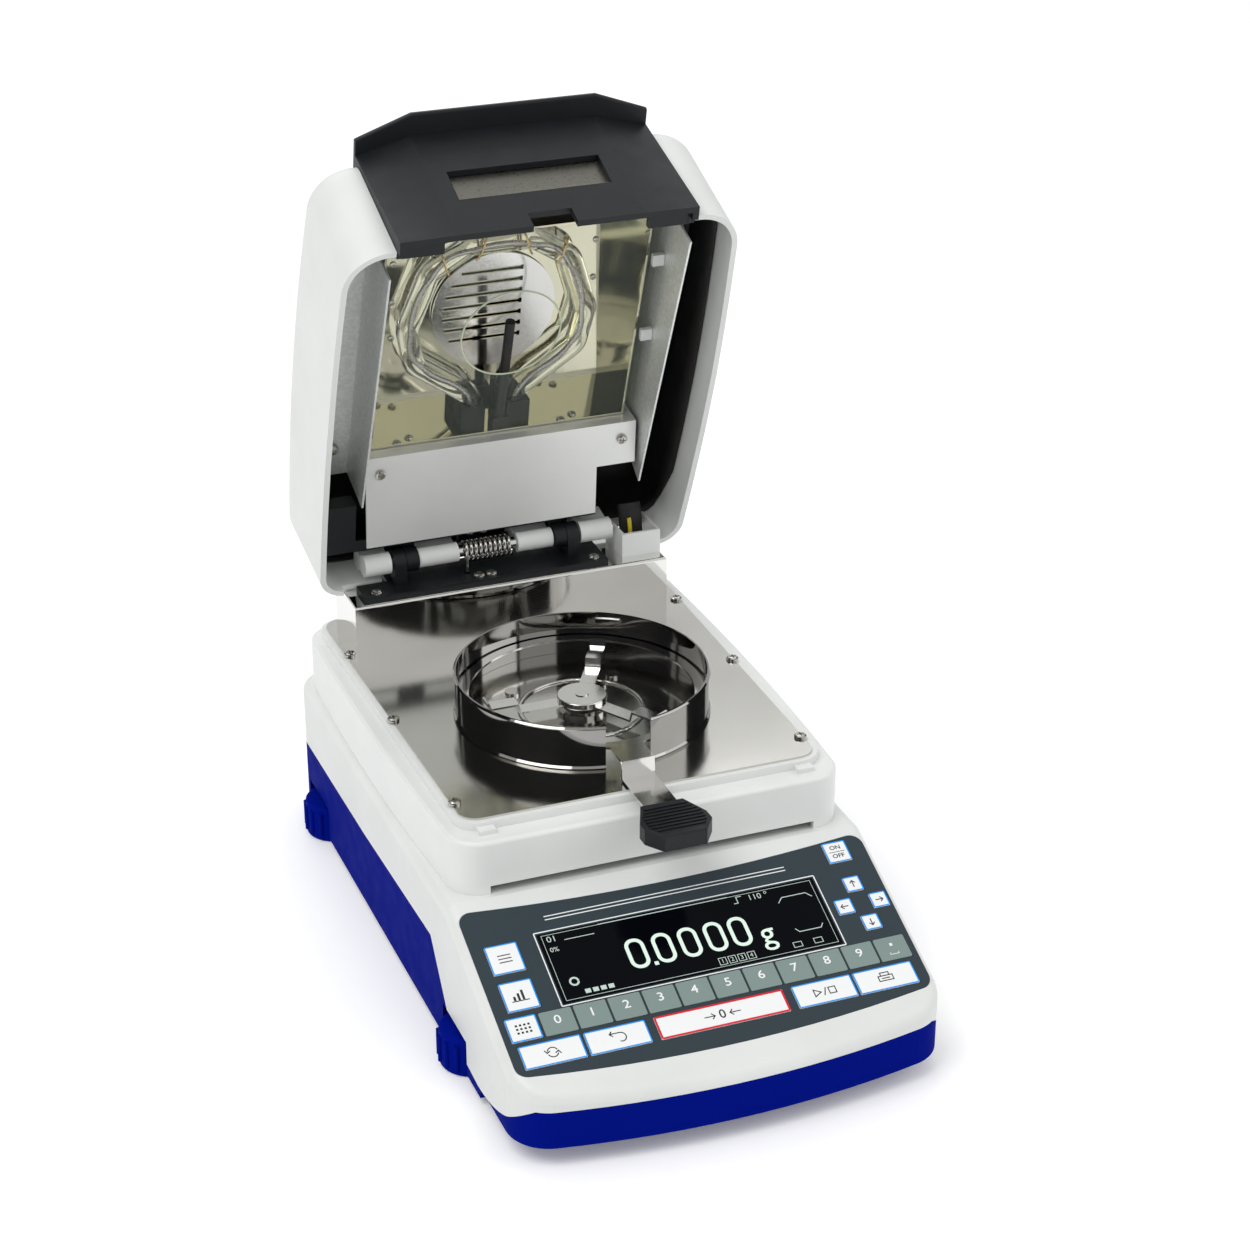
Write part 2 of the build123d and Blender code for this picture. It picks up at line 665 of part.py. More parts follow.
def lid_block(inset):
    plan = plan_face(
        lid_front_half - inset, lid_mid_half - inset, lid_rear_half - inset,
        at(lid_front_depth - 15), at(lid_rear_depth) - inset, 0, 1, lid_rear_r - inset,
    )
    body = extrude(Pos(0, 0, 80) * plan, amount=140, dir=(0, 0, 1))
    side = extrude(
        Plane.YZ.offset(-110) * lid_profile(inset), amount=220, dir=(1, 0, 0)
    )
    body &= side
    upright = [e for e in body.edges() if e.bounding_box().max.Y < at(lid_front_depth + 20)
               and e.bounding_box().max.Z - e.bounding_box().min.Z > 50]
    body = fillet(upright, lid_corner_r - inset)
    rounded = [e for e in body.edges() if e.bounding_box().min.Z > 160]
    return fillet(rounded, lid_edge_r - inset)


under_rim = prism(rim_line + [(rim_line[-1][0], 60), (rim_line[0][0], 60)], -120, 120)
lid_outer = lid_block(0)
lid_inner = lid_block(lid_wall)
lid_shell = lid_outer - lid_inner - under_rim
cut_y = at(lid_front_depth + 7)
front_cut = [
    (cut_y - 38, 90), (cut_y + 6, 90), (cut_y + 6, 150), (cut_y, 170), (cut_y, 178), (cut_y - 38, 178)
]
lid_shell -= prism(front_cut, -panel_half - fit_gap, panel_half + fit_gap)
# Rear cut-out for the hinge and the cable duct.
lid_shell -= block(-shaft_half - 2.5, duct_x[1] + 3, at(323), at(345), 120, 158)
lid_shell -= block(-box_half - 1, -shaft_half, at(323), at(345), 120, hinge_z - 1.5)
barrel_y = (hinge_y + sleeve_r - 1, at(lid_rear_depth) - lid_wall + 0.5)
for x0, x1 in ((-72.0, -58.5), (41.5, 58.5)):
    eye = bar(hinge_y, hinge_z, x0, x1, sleeve_r)
    eye += block(x0, x1, hinge_y - 2, hinge_y + sleeve_r, hinge_z, 160)
    eye += block(x0, x1, hinge_y, barrel_y[1], 153, 160)
    lid_shell += eye
for x0, x1 in ((-43.9, -23.2), (8.0, 26.8)):
    sleeve = bar(hinge_y, hinge_z, x0, x1, sleeve_r - 0.6)
    sleeve += block(x0, x1, hinge_y - 2, hinge_y + 3, hinge_z, 160)
    sleeve += block(x0, x1, hinge_y, barrel_y[1], 153, 160)
    lid_shell += sleeve
lid_shell -= bar(hinge_y, hinge_z, -61, 61, shaft_r + bore_play + 0.05)

# Black front panel: three facets with a window and an overhanging handle lip.
panel_low = 104.0
panel_z = 174.6
kink_x = 45.0


def panel_plan(bulge, ends, depth_out, half=panel_half):
    """Plan of the panel behind the lid's front edge: a flat middle and two facets that fall back."""
    y_bulge, y_end, y_back = (at(lid_front_depth + d) for d in (bulge, ends, depth_out))
    return [
        (-half, y_end), (-kink_x, y_bulge), (kink_x, y_bulge), (half, y_end),
        (half, y_back), (-half, y_back),
    ]


def loft_between(lower, z0, upper, z1):
    faces = [
        Pos(0, 0, z0) * make_face(Polyline(*lower, close=True)),
        Pos(0, 0, z1) * make_face(Polyline(*upper, close=True)),
    ]
    return loft(faces, ruled=True)


front_panel = loft_between(
    panel_plan(0.8, 1.2, 12.5), panel_low, panel_plan(-12.2, -4.5, 6.5), panel_z
)
inner_half = panel_half - panel_t
front_panel -= loft_between(
    panel_plan(0.8 + panel_t, 1.2 + panel_t, 39, inner_half), panel_low - 0.01,
    panel_plan(-12.2 + panel_t, -4.5 + panel_t, 39, inner_half), panel_z + 0.01,
)
lip_t = 2.6
lip = make_face(Polyline(*panel_plan(-22.8, -12.5, 6.5), close=True))
lip_solid = extrude(Pos(0, 0, panel_z - 0.5) * lip, amount=lip_t, dir=(0, 0, 1))
lip_front = [e for e in lip_solid.edges().filter_by(GeomType.LINE)
             if abs(e.tangent_at(0.5).Z) < 0.1 and e.center().Y < at(lid_front_depth - 12)]
front_panel += fillet(lip_front, 1.0)
panel_y = (at(lid_front_depth - 21), at(lid_front_depth + 14))
front_panel -= block(-window_half, window_half, *panel_y, *window_z)
front_panel -= block(-9, 12, *panel_y, panel_low - 5, 113)
# The side returns stop short of the tray's raised rim when the lid is shut.
front_panel -= block(-panel_half - 1, panel_half + 1, at(119), panel_y[1], panel_low - 5, plate_z + 0.6)
for x in (-59, 59):
    front_panel += block(
        x - 10, x + 10, at(lid_front_depth + 3.5), at(lid_front_depth + 12.5), plate_z + 0.8, plate_z + 3.8
    )

# Galvanised side sheets: a web down to the rim and a flange behind it.
web_y = at(lid_front_depth + 20)
flange_half = 88.0


def flange_low(depth):
    """Height of the flange's lower face."""
    return 146.0 + 0.17 * (depth - 135)


side_sheets = []
for side, tip_depth in ((-1, 283.5), (1, 293.0)):
    x0, x1 = sorted((side * web_half, side * (web_half + sheet_t)))
    web_line = [
        (web_y, 174), (web_y, 142), (web_y + 5, 112.5), (at(tip_depth), 144.5), (at(279), 174)
    ]
    web = prism(web_line, x0, x1)
    if side < 0:
        web += prism([
            (at(140), flange_low(140)), (at(140), flange_low(140) + sheet_t),
            (at(280), flange_low(280) + sheet_t), (at(280), flange_low(280)),
        ], -flange_half, -web_half)
    side_sheets.append(web)

# Lower sheet: closes the lid between the reflector and the hinge.
lower_sheet = prism(
    [(at(259.1), 149.7), (at(308), 143.5), (at(308), 144.5), (at(260.1), 150.7), (at(260.1), 172),
     (at(259.1), 172)], -web_half + 2, web_half - 2,
)
lower_sheet -= block(50, web_half + 1, at(282), at(315), 140, 160)


def pane_z(depth, above):
    """Height of a plane parallel to the tilted glass pane, this far above its middle."""
    return glass_z + above + (depth - glass_depth) * math.tan(math.radians(glass_tilt))


# Reflector: a bright folded box round the lamp, cut along the tilted pane.
reflector = block(
    -reflector_half, reflector_half, at(reflector_front_depth), at(reflector_rear_depth),
    reflector_mouth_z, reflector_top_z,
)
reflector -= block(
    -reflector_half + sheet_t, reflector_half - sheet_t, at(reflector_front_depth) + sheet_t,
    at(reflector_rear_depth) - sheet_t, reflector_mouth_z - 1, reflector_top_z - sheet_t,
)
mouth = glass_t / 2 + 0.4
reflector -= prism(
    [(at(100), 100), (at(100), pane_z(100, mouth)), (at(300), pane_z(300, mouth)), (at(300), 100)],
    -reflector_half - 1, reflector_half + 1,
)
holder_x = 11.6
holder_w = 12.0
holder_z = (162.0, 175.0)

# Halogen lamp: a horseshoe of glass tube whose legs end in the two holders.
leg_depth = 246.0
lamp_path = [
    (-holder_x, at(leg_depth + 6)), (-holder_x, at(leg_depth - 4)), (-lamp_r + 4, at(lamp_depth + 20)),
    (-lamp_r, at(lamp_depth)), (-lamp_r + 10, at(lamp_depth - 30)), (-16, at(lamp_depth - 43)),
    (16, at(lamp_depth - 43)), (lamp_r - 10, at(lamp_depth - 30)), (lamp_r, at(lamp_depth)),
    (lamp_r - 4, at(lamp_depth + 20)), (holder_x, at(leg_depth - 4)), (holder_x, at(leg_depth + 6)),
]
lamp_wire = Pos(0, 0, lamp_z) * FilletPolyline(*lamp_path, radius=8)
lamp_end = Plane(lamp_wire @ 0, z_dir=lamp_wire % 0)
halogen_lamp = sweep(lamp_end * Circle(lamp_tube_r), path=lamp_wire)
lamp_holders = []
for side in (-1, 1):
    holder = block(
        side * holder_x - holder_w / 2, side * holder_x + holder_w / 2, at(leg_depth),
        at(reflector_rear_depth) - sheet_t, holder_z[0], holder_z[1],
    )
    holder -= Pos(side * holder_x, at(leg_depth) + 3, lamp_z) * Rot(90, 0, 0) * Cylinder(
        lamp_tube_r + fit_gap, 8
    )
    lamp_holders.append(holder)

# Slotted vent disc under the roof of the reflector.
vent_disc = post(0, at(vent_depth), 173.0, 174.0, vent_r)
for i in range(7):
    y = at(vent_depth) - 22 + i * 6.2
    reach = math.sqrt(vent_r ** 2 - (y - at(vent_depth)) ** 2) - 5
    vent_disc -= block(-reach, min(reach, 14), y - 1.3, y + 1.3, 170, 176)
vent_disc += [post(x, at(vent_depth), 174.0, 175.0, 2.0) for x in (-26, 26)]

# Glass pane over the mouth of the reflector, with a round hole for the sensor.
pane = Box(2 * (web_half - 3), 121, glass_t) - Cylinder(glass_hole_r, glass_t + 2)
lid_glass = Pos(0, at(glass_depth), glass_z) * Rot(glass_tilt, 0, 0) * pane
probe = Pos(sensor_x, 28, 5) * Rot(90, 0, 0) * Cylinder(2.4, 62)
temperature_sensor = Pos(0, at(glass_depth), glass_z) * Rot(glass_tilt, 0, 0) * probe
temperature_sensor += block(
    sensor_x - 4, sensor_x + 4, at(251), at(reflector_rear_depth) - sheet_t - fit_gap, 156.9, 164.5
)

# White clips that hold the pane's edges.
glass_clips = []
for side in (-1, 1):
    for depth in (160.5, 205.6):
        z = pane_z(depth, 0)
        x0, x1 = sorted((side * (web_half - 6), side * (web_half - 0.2)))
        glass_clips.append(block(x0, x1, at(depth) - 3, at(depth) + 3, z - 4.2, z - 1.8))

# Upper leaf: the black bar that joins the lid to the hinge, with a block at each end.
upper_leaf_y = (at(305.5), at(312.2))
upper_leaf_z = hinge_z + 3.8
hinge_upper_leaf = block(*leaf_x, *upper_leaf_y, upper_leaf_z, upper_leaf_z + leaf_t)
for x in lid_knuckle_x:
    x0, x1 = x - knuckle_w / 2, x + knuckle_w / 2
    hinge_upper_leaf += bar(hinge_y, hinge_z, x0, x1, knuckle_r)
    hinge_upper_leaf += block(x0, x1, upper_leaf_y[1] - 1, hinge_y, upper_leaf_z, upper_leaf_z + leaf_t)
hinge_upper_leaf -= bar(hinge_y, hinge_z, leaf_x[0], leaf_x[1], shaft_r + bore_play)
spring_leg_x = spring_x[0] - 2.0
hinge_upper_leaf += block(
    spring_leg_x - 0.5, spring_leg_x + 0.5, upper_leaf_y[1] - 1, hinge_y + 1,
    hinge_z + shaft_r + 0.9, hinge_z + shaft_r + 1.9,
)
hinge_upper_leaf += block(-92.4, leaf_x[0] + 1, at(284), at(312), upper_leaf_z, upper_leaf_z + 9)
hinge_upper_leaf = [hinge_upper_leaf]
right_flange = prism([
    (at(140), flange_low(140)), (at(140), flange_low(140) + sheet_t),
    (at(280), flange_low(280) + sheet_t), (at(280), flange_low(280)),
], web_half + sheet_t + fit_gap, flange_half)
hinge_upper_leaf.append(right_flange)

lid_screws = []
for side in (-1, 1):
    for depth in (148.0, 262.0):
        z = flange_low(depth) - 0.9
        lid_screws.append(post(side * 82, at(depth), z - screw_h, z, screw_r))
for x in (-15.5, -8.5):
    lid_screws.append(post(x, at(309.2), upper_leaf_z - screw_h, upper_leaf_z, screw_r - 0.2))
for side in (-1, 1):
    lid_screws.append(post(side * 63, at(268), 148.4 - 0.3 - screw_h, 148.4 - 0.3, screw_r - 0.4))

base_screws = []
for depth in (139.0, 224.0, 301.0 - 4):
    for side in (-1, 1):
        x = side * (84.7 + 2.2 * (depth > 200))
        base_screws.append(post(x, at(depth), plate_z, plate_z + screw_h, screw_r))
for x, depth in ((-69.0, 306.6), (45.5, 306.6), (-15.5, 307.2), (-9.0, 307.2)):
    base_screws.append(post(x, at(depth), leaf_top, leaf_top + screw_h, screw_r - 0.2))

# Nodes of the base and of the lid.
hinge_axis = Axis((0, hinge_y, hinge_z), (1, 0, 0))
base_nodes = {
    "base_shell": base_shell, "top_housing": top_housing, "heating_tray": heating_tray,
    "floor_plate": floor_plate, "base_screws": base_screws, "hinge_box": hinge_box,
    "hinge_lower_leaf": hinge_lower_leaf, "hinge_shaft": hinge_shaft, "hinge_spring": hinge_spring,
    "cable_duct": cable_duct, "lamp_cable": lamp_cable, "keypad_overlay": keypad_overlay,
    "display_module": display_module, "main_board": main_board, "load_cell": load_cell,
    "wind_shield": wind_shield, "pan_support": pan_support, "pan_lifter": pan_lifter,
    "lifter_handle": lifter_handle,
}
lid_nodes = {
    "lid_shell": lid_shell, "front_panel": front_panel, "side_sheets": side_sheets,
    "lower_sheet": lower_sheet, "reflector": reflector, "halogen_lamp": halogen_lamp,
    "lamp_holders": lamp_holders, "vent_disc": vent_disc, "lid_glass": lid_glass,
    "temperature_sensor": temperature_sensor, "glass_clips": glass_clips,
    "hinge_upper_leaf": hinge_upper_leaf, "lid_screws": lid_screws,
}


def gather(shape):
    """One compound of all the solids of a node."""
    shapes = shape if isinstance(shape, list) else [shape]
    solids = [solid for item in shapes for solid in item.solids()]
    return solids[0] if len(solids) == 1 else Compound(children=solids)


def export(name, shape):
    export_step(gather(shape), f"parts/{name}.step")


for name, shape in {**base_nodes, **foot_solids, **key_solids}.items():
    export(name, shape)
for name, shape in lid_nodes.items():
    export(name, gather(shape).rotate(hinge_axis, -open_angle))

lid_back = gather(lid_shell).rotate(hinge_axis, -open_angle).bounding_box()
print(f"front {front_y:.1f}, back of open lid {lid_back.max.Y:.1f}, top {lid_back.max.Z:.1f}")
print(f"hinge axis y {hinge_y:.1f} z {hinge_z:.1f}, chamber centre y {chamber_y:.1f}")
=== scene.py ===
import math

import bmesh
import bpy
from mathutils import Matrix, Vector


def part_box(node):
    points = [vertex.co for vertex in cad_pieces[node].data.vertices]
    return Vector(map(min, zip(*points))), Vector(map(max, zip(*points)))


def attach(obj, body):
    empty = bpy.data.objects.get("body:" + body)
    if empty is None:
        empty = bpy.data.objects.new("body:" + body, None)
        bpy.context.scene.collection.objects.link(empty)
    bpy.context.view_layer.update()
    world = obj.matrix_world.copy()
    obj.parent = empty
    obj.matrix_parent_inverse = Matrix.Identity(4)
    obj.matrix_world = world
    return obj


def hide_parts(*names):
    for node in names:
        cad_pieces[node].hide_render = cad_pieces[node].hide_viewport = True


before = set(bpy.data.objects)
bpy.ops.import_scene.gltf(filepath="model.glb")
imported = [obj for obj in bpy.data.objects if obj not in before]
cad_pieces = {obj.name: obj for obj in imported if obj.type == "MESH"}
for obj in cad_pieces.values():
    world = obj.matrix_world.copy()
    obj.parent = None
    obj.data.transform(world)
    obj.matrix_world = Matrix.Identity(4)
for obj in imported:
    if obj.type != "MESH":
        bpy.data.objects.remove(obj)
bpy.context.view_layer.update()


# Lower and upper housing: two ABS mouldings with a fine spark-eroded skin, blue below and
# white above, that meet along the parting line. The blue one carries the works and the feet.
mm = 0.001
noise_middle = (0.3, 0.7)


def feed(tree, socket, source):
    """Links a socket to another node's output, or gives it a plain value."""
    if isinstance(source, bpy.types.NodeSocket):
        tree.links.new(source, socket)
    else:
        socket.default_value = source


def node(tree, kind, **values):
    """A node with its settings and, under a capital letter, its inputs; _ stands for a space."""
    made = tree.nodes.new(kind)
    for name, value in values.items():
        if name[0].isupper():
            feed(tree, made.inputs[name.replace("_", " ")], value)
        else:
            setattr(made, name, value)
    return made


def between(tree, value, low, high):
    """The middle of a noise, stretched to run from low to high."""
    first, last = noise_middle
    made = node(tree, "ShaderNodeMapRange", Value=value, From_Min=first, From_Max=last,
                To_Min=low, To_Max=high)
    return made.outputs["Result"]


def skin_tree():
    """Shader group of the worked surfaces: mottled colour, patchy gloss and a fine grain."""
    group = bpy.data.node_groups.new("worked_skin", "ShaderNodeTree")
    for name in ("Vector", "Stretch"):
        group.interface.new_socket(name=name, in_out="INPUT", socket_type="NodeSocketVector")
    group.interface.items_tree["Stretch"].default_value = (1, 1, 1)
    layers = ("Mottle", "Patch", "Grain")
    sizes = [f"{layer} {size}" for layer in layers for size in ("Scale", "Detail")]
    for name in sizes + ["Rough Low", "Rough High"]:
        group.interface.new_socket(name=name, in_out="INPUT", socket_type="NodeSocketFloat")
    for name in ("Mottle", "Roughness", "Height"):
        group.interface.new_socket(name=name, in_out="OUTPUT", socket_type="NodeSocketFloat")
    given = group.nodes.new("NodeGroupInput").outputs
    wanted = group.nodes.new("NodeGroupOutput").inputs
    drawn = node(group, "ShaderNodeMapping", Vector=given["Vector"], Scale=given["Stretch"])
    drawn = drawn.outputs["Vector"]
    noise = {}
    for layer, vector in zip(layers, (given["Vector"], drawn, drawn)):
        texture = node(group, "ShaderNodeTexNoise", Vector=vector,
                       Scale=given[layer + " Scale"], Detail=given[layer + " Detail"])
        noise[layer] = texture.outputs["Fac"]
    gloss = between(group, noise["Patch"], given["Rough Low"], given["Rough High"])
    feed(group, wanted["Mottle"], noise["Mottle"])
    feed(group, wanted["Roughness"], gloss)
    feed(group, wanted["Height"], noise["Grain"])
    return group


worked_skin = skin_tree()


class Surface:
    """A material in the making: its shader's inputs and the outputs of its skin group."""

    def __init__(self, name, **skin_sizes):
        self.material = bpy.data.materials.new(name)
        self.material.use_nodes = True
        self.tree = self.material.node_tree
        self.shader = self.tree.nodes["Principled BSDF"].inputs
        self.place = self.tree.nodes.new("ShaderNodeTexCoord").outputs["Object"]
        skin = node(self.tree, "ShaderNodeGroup", node_tree=worked_skin, Vector=self.place, **skin_sizes)
        self.skin = skin.outputs

    def feed(self, **values):
        """Gives the shader's inputs plain values or links."""
        for name, value in values.items():
            feed(self.tree, self.shader[name.replace("_", " ")], value)

    def tint(self, mask, dark, light):
        """Base colour that runs from dark to light with the mask."""
        ramp = node(self.tree, "ShaderNodeValToRGB", Fac=mask)
        for stop, position, color in zip(ramp.color_ramp.elements, noise_middle, (dark, light)):
            stop.position = position
            stop.color = (*color, 1)
        self.feed(Base_Color=ramp.outputs["Color"])

    def relief(self, strength, depth):
        """Raises the skin's grain."""
        bump = node(self.tree, "ShaderNodeBump", Height=self.skin["Height"], Strength=strength,
                    Distance=depth)
        self.feed(Normal=bump.outputs["Normal"])


def shades(color, contrast):
    """A darker and a lighter shade of a colour."""
    return [c * (1 - contrast) for c in color], [min(1, c * (1 + contrast)) for c in color]


def plastic(name, color, rough, grain=1400, strength=0.25, contrast=0.03, specular=0.5):
    """Moulded plastic: a fine spark-eroded grain with faint mottling."""
    made = Surface(name, Mottle_Scale=26, Mottle_Detail=4, Patch_Scale=90, Patch_Detail=3,
                   Grain_Scale=grain, Grain_Detail=3, Rough_Low=rough * 0.9, Rough_High=rough * 1.12)
    made.tint(made.skin["Mottle"], *shades(color, contrast))
    made.feed(Roughness=made.skin["Roughness"], Specular_IOR_Level=specular)
    made.relief(strength, 0.12 * mm)
    return made.material


def dress(material, *names):
    """Gives CAD pieces their finish."""
    for name in names:
        for slot in cad_pieces[name].material_slots:
            slot.material = material


blue = plastic("blue_moulding", (0.0, 0.006, 0.215), 0.6, grain=1600, strength=0.35, specular=0.015)
white = plastic("white_moulding", (0.735, 0.75, 0.735), 0.42)
dress(blue, "base_shell")
dress(white, "top_housing")

# Levelling feet: ribbed wheels of the same blue plastic, each on a threaded stem that turns
# in a boss of the lower housing.
dress(blue, *[name for name in cad_pieces if name.startswith("foot_")])

# Circuit board with the two rear sockets, and the slotted aluminium load cell that carries
# the pan: both stand on the floor of the lower housing.
board_thickness = 1.6 * mm
board_green = plastic("board_mask", (0.01, 0.12, 0.05), 0.35, grain=800, strength=0.2, contrast=0.2)
socket_black = plastic("socket_black", (0.010, 0.010, 0.011), 0.4, grain=1500, strength=0.2)
dress(board_green, "main_board")
board_mesh = cad_pieces["main_board"].data
board_mesh.materials.append(socket_black)
socket_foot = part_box("main_board")[0][2] + board_thickness + 0.05 * mm
for face in board_mesh.polygons:
    if face.center.z > socket_foot:
        face.material_index = 1


def metal(name, color, rough, grain=600, stretch=(1, 1, 1), strength=0.1, contrast=0.05, metallic=1.0):
    """Metal with an even or a drawn-out grain, which also makes its gloss uneven."""
    made = Surface(name, Stretch=stretch, Mottle_Scale=18, Mottle_Detail=5, Patch_Scale=grain,
                   Patch_Detail=4, Grain_Scale=grain, Grain_Detail=4,
                   Rough_Low=rough * 0.7, Rough_High=rough * 1.3)
    made.tint(made.skin["Mottle"], *shades(color, contrast))
    made.feed(Roughness=made.skin["Roughness"], Metallic=metallic)
    made.relief(strength, 0.08 * mm)
    return made.material


aluminium = metal("milled_aluminium", (0.62, 0.63, 0.65), 0.35, grain=420, stretch=(12, 1, 1), strength=0.3)
dress(aluminium, "load_cell")

# Keypad film: a dark grey printed polyester sheet in a recess of the slope. The moulded key
# caps stand through it, white for the commands and grey for the figures.
film = plastic("keypad_film", (0.034, 0.050, 0.060), 0.46, grain=2200, strength=0.12, contrast=0.02,
               specular=0.16)
key_white = plastic("key_film_white", (0.87, 0.88, 0.88), 0.40, grain=2200, strength=0.10, contrast=0.01)
key_grey = plastic("key_film_grey", (0.205, 0.275, 0.262), 0.42, grain=2200, strength=0.12)
dress(film, "keypad_overlay")
dress(key_grey, *[name for name in cad_pieces if name.startswith("key_")])
dress(key_white, *[name for name in cad_pieces if name.endswith("_key")])

# Printing on the key caps: screen ink, an outline with a sign or a figure on each. It is drawn
# flat in millimetres, u to the right and v up the slope, and then laid on the keypad.
front_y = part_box("base_shell")[0][1]


def spot(x, depth, z):
    """A place from millimetres across, behind the front edge and up."""
    return (x * mm, front_y + depth * mm, z * mm)


slope = math.radians(22.56)
slope_foot = Vector(spot(0, 22.1, 41.5))
slope_up = Vector((0, math.cos(slope), math.sin(slope)))
slope_out = Vector((0, -math.sin(slope), math.cos(slope)))
keypad_frame = Matrix((
    (1, slope_up.x, slope_out.x, slope_foot.x),
    (0, slope_up.y, slope_out.y, slope_foot.y),
    (0, slope_up.z, slope_out.z, slope_foot.z),
    (0, 0, 0, 1),
)) @ Matrix.Scale(mm, 4)
key_top = 0.3


def ink(name, color, rough=0.5, glow=0.0):
    """Printed ink or a lit segment, with a trace of unevenness."""
    made = Surface(name, Mottle_Scale=300, Mottle_Detail=2)
    made.tint(made.skin["Mottle"], [c * 0.97 for c in color], color)
    made.feed(Roughness=rough)
    if glow:
        made.feed(Emission_Color=(*color, 1), Emission_Strength=glow)
    return made.material


print_white = ink("print_white", (0.86, 0.88, 0.88), 0.45)
print_dark = ink("print_dark", (0.012, 0.018, 0.022), 0.5)
print_blue = ink("print_blue", (0.0, 0.30, 0.86), 0.45)
print_red = ink("print_red", (0.70, 0.0, 0.02), 0.45)


def linked(name, data):
    """An object of the scene with this mesh, curve, lamp or lens."""
    made = bpy.data.objects.new(name, data)
    bpy.context.collection.objects.link(made)
    return made


def piece(name, mesh, material, body, smooth=False):
    """A finished piece that rides on its body."""
    mesh.materials.clear()
    mesh.materials.append(material)
    for face in mesh.polygons:
        face.use_smooth = smooth
    made = linked(name, mesh)
    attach(made, body)
    return made


def to_mesh(bm, name):
    """Plain mesh of a finished bmesh."""
    mesh = bpy.data.meshes.new(name)
    bm.to_mesh(mesh)
    bm.free()
    return mesh


def plain_mesh(holder):
    """Plain mesh of what a curve or a modifier makes, without its holder."""
    bpy.context.view_layer.update()
    graph = bpy.context.evaluated_depsgraph_get()
    mesh = bpy.data.meshes.new_from_object(holder.evaluated_get(graph))
    holder.modifiers.clear()
    bpy.data.objects.remove(holder)
    return mesh


def merged(name, meshes, matrix=Matrix.Identity(4)):
    """One mesh from several, moved by the matrix."""
    bm = bmesh.new()
    for mesh in meshes:
        bm.from_mesh(mesh)
    bmesh.ops.transform(bm, matrix=matrix, verts=bm.verts)
    return to_mesh(bm, name)


def ribbon(points, width, height=0.04, closed=False):
    """Flat printed line through 2-D points, with mitred corners."""
    bm = bmesh.new()
    count = len(points)
    rows = []
    for i, p in enumerate(points):
        p = Vector(p)
        before = Vector(points[i - 1]) if i or closed else None
        after = Vector(points[(i + 1) % count]) if i < count - 1 or closed else None
        a = (p - before).normalized() if before else (after - p).normalized()
        b = (after - p).normalized() if after else a
        normal = Vector((-(a.y + b.y), a.x + b.x)).normalized()
        spread = width / 2 / max(0.3, normal.dot(Vector((-a.y, a.x))))
        rows.append((bm.verts.new((*(p - normal * spread), 0)), bm.verts.new((*(p + normal * spread), 0))))
    for i in range(count if closed else count - 1):
        (a, b), (c, d) = rows[i], rows[(i + 1) % count]
        bm.faces.new((a, c, d, b))
    made = bmesh.ops.extrude_face_region(bm, geom=bm.faces[:])
    raised = [v for v in made["geom"] if isinstance(v, bmesh.types.BMVert)]
    bmesh.ops.translate(bm, vec=(0, 0, height), verts=raised)
    bmesh.ops.recalc_face_normals(bm, faces=bm.faces)
    return to_mesh(bm, "ribbon")


def slab(u, v, width, height, depth=0.05):
    """Thin bar with its lower left corner at u, v."""
    bm = bmesh.new()
    bmesh.ops.create_cube(bm, size=1)
    bmesh.ops.scale(bm, vec=(width, height, depth), verts=bm.verts)
    bmesh.ops.translate(bm, vec=(u + width / 2, v + height / 2, depth / 2), verts=bm.verts)
    return to_mesh(bm, "slab")


def arc(cx, cy, radius, start, end, steps):
    """Points of an arc, from one angle in degrees to another."""
    turns = [math.radians(start + (end - start) * i / steps) for i in range(steps + 1)]
    return [(cx + radius * math.cos(a), cy + radius * math.sin(a)) for a in turns]


def rounded(u, v, width, height, radius, steps=4):
    """Corner points of a rounded rectangle."""
    left, right = u + radius, u + width - radius
    low, high = v + radius, v + height - radius
    corners = ((right, low, -90), (right, high, 0), (left, high, 90), (left, low, 180))
    return [p for x, y, start in corners for p in arc(x, y, radius, start, start + 90, steps)]


def lettering(text, size, u, v, squeeze=1.0, weight=0.0):
    """Figures or letters centred on u, v, drawn at their true size first."""
    curve = bpy.data.curves.new("lettering", "FONT")
    curve.body = text
    curve.size = size * mm
    curve.align_x = curve.align_y = "CENTER"
    curve.extrude = 0.02 * mm
    curve.offset = weight * mm
    curve.resolution_u = 3
    mesh = plain_mesh(linked("lettering", curve))
    mesh.transform(Matrix.Translation((u, v, 0.02)) @ Matrix.Diagonal((squeeze / mm, 1 / mm, 1 / mm, 1)))
    return mesh


def printed(name, parts, material, body, level):
    """Several flat meshes as one printed piece, level millimetres above the film."""
    mesh = merged(name, parts, keypad_frame @ Matrix.Translation((0, 0, level)))
    return piece(name, mesh, material, body)


def arrow(cx, cy, length, turn, head=1.3, width=0.5):
    """Arrow sign: a shaft and an open head."""
    c, s = math.cos(math.radians(turn)), math.sin(math.radians(turn))

    def at(x, y):
        return (cx + x * c - y * s, cy + x * s + y * c)

    tip = length / 2
    shaft = ribbon([at(-tip, 0), at(tip, 0)], width)
    barb = ribbon([at(tip - head, head), at(tip, 0), at(tip - head, -head)], width)
    return [shaft, barb]


def arc_line(cx, cy, radius, start, end, width):
    """Printed line along an arc."""
    return ribbon(arc(cx, cy, radius, start, end, 14), width)


def box_line(u, v, width, height, line):
    """Printed line round a plain rectangle."""
    return ribbon([(u, v), (u + width, v), (u + width, v + height), (u, v + height)], line, closed=True)


arrow_turns = {"up_key": 90, "down_key": 270, "left_key": 180, "right_key": 0}
sign_line = 0.5


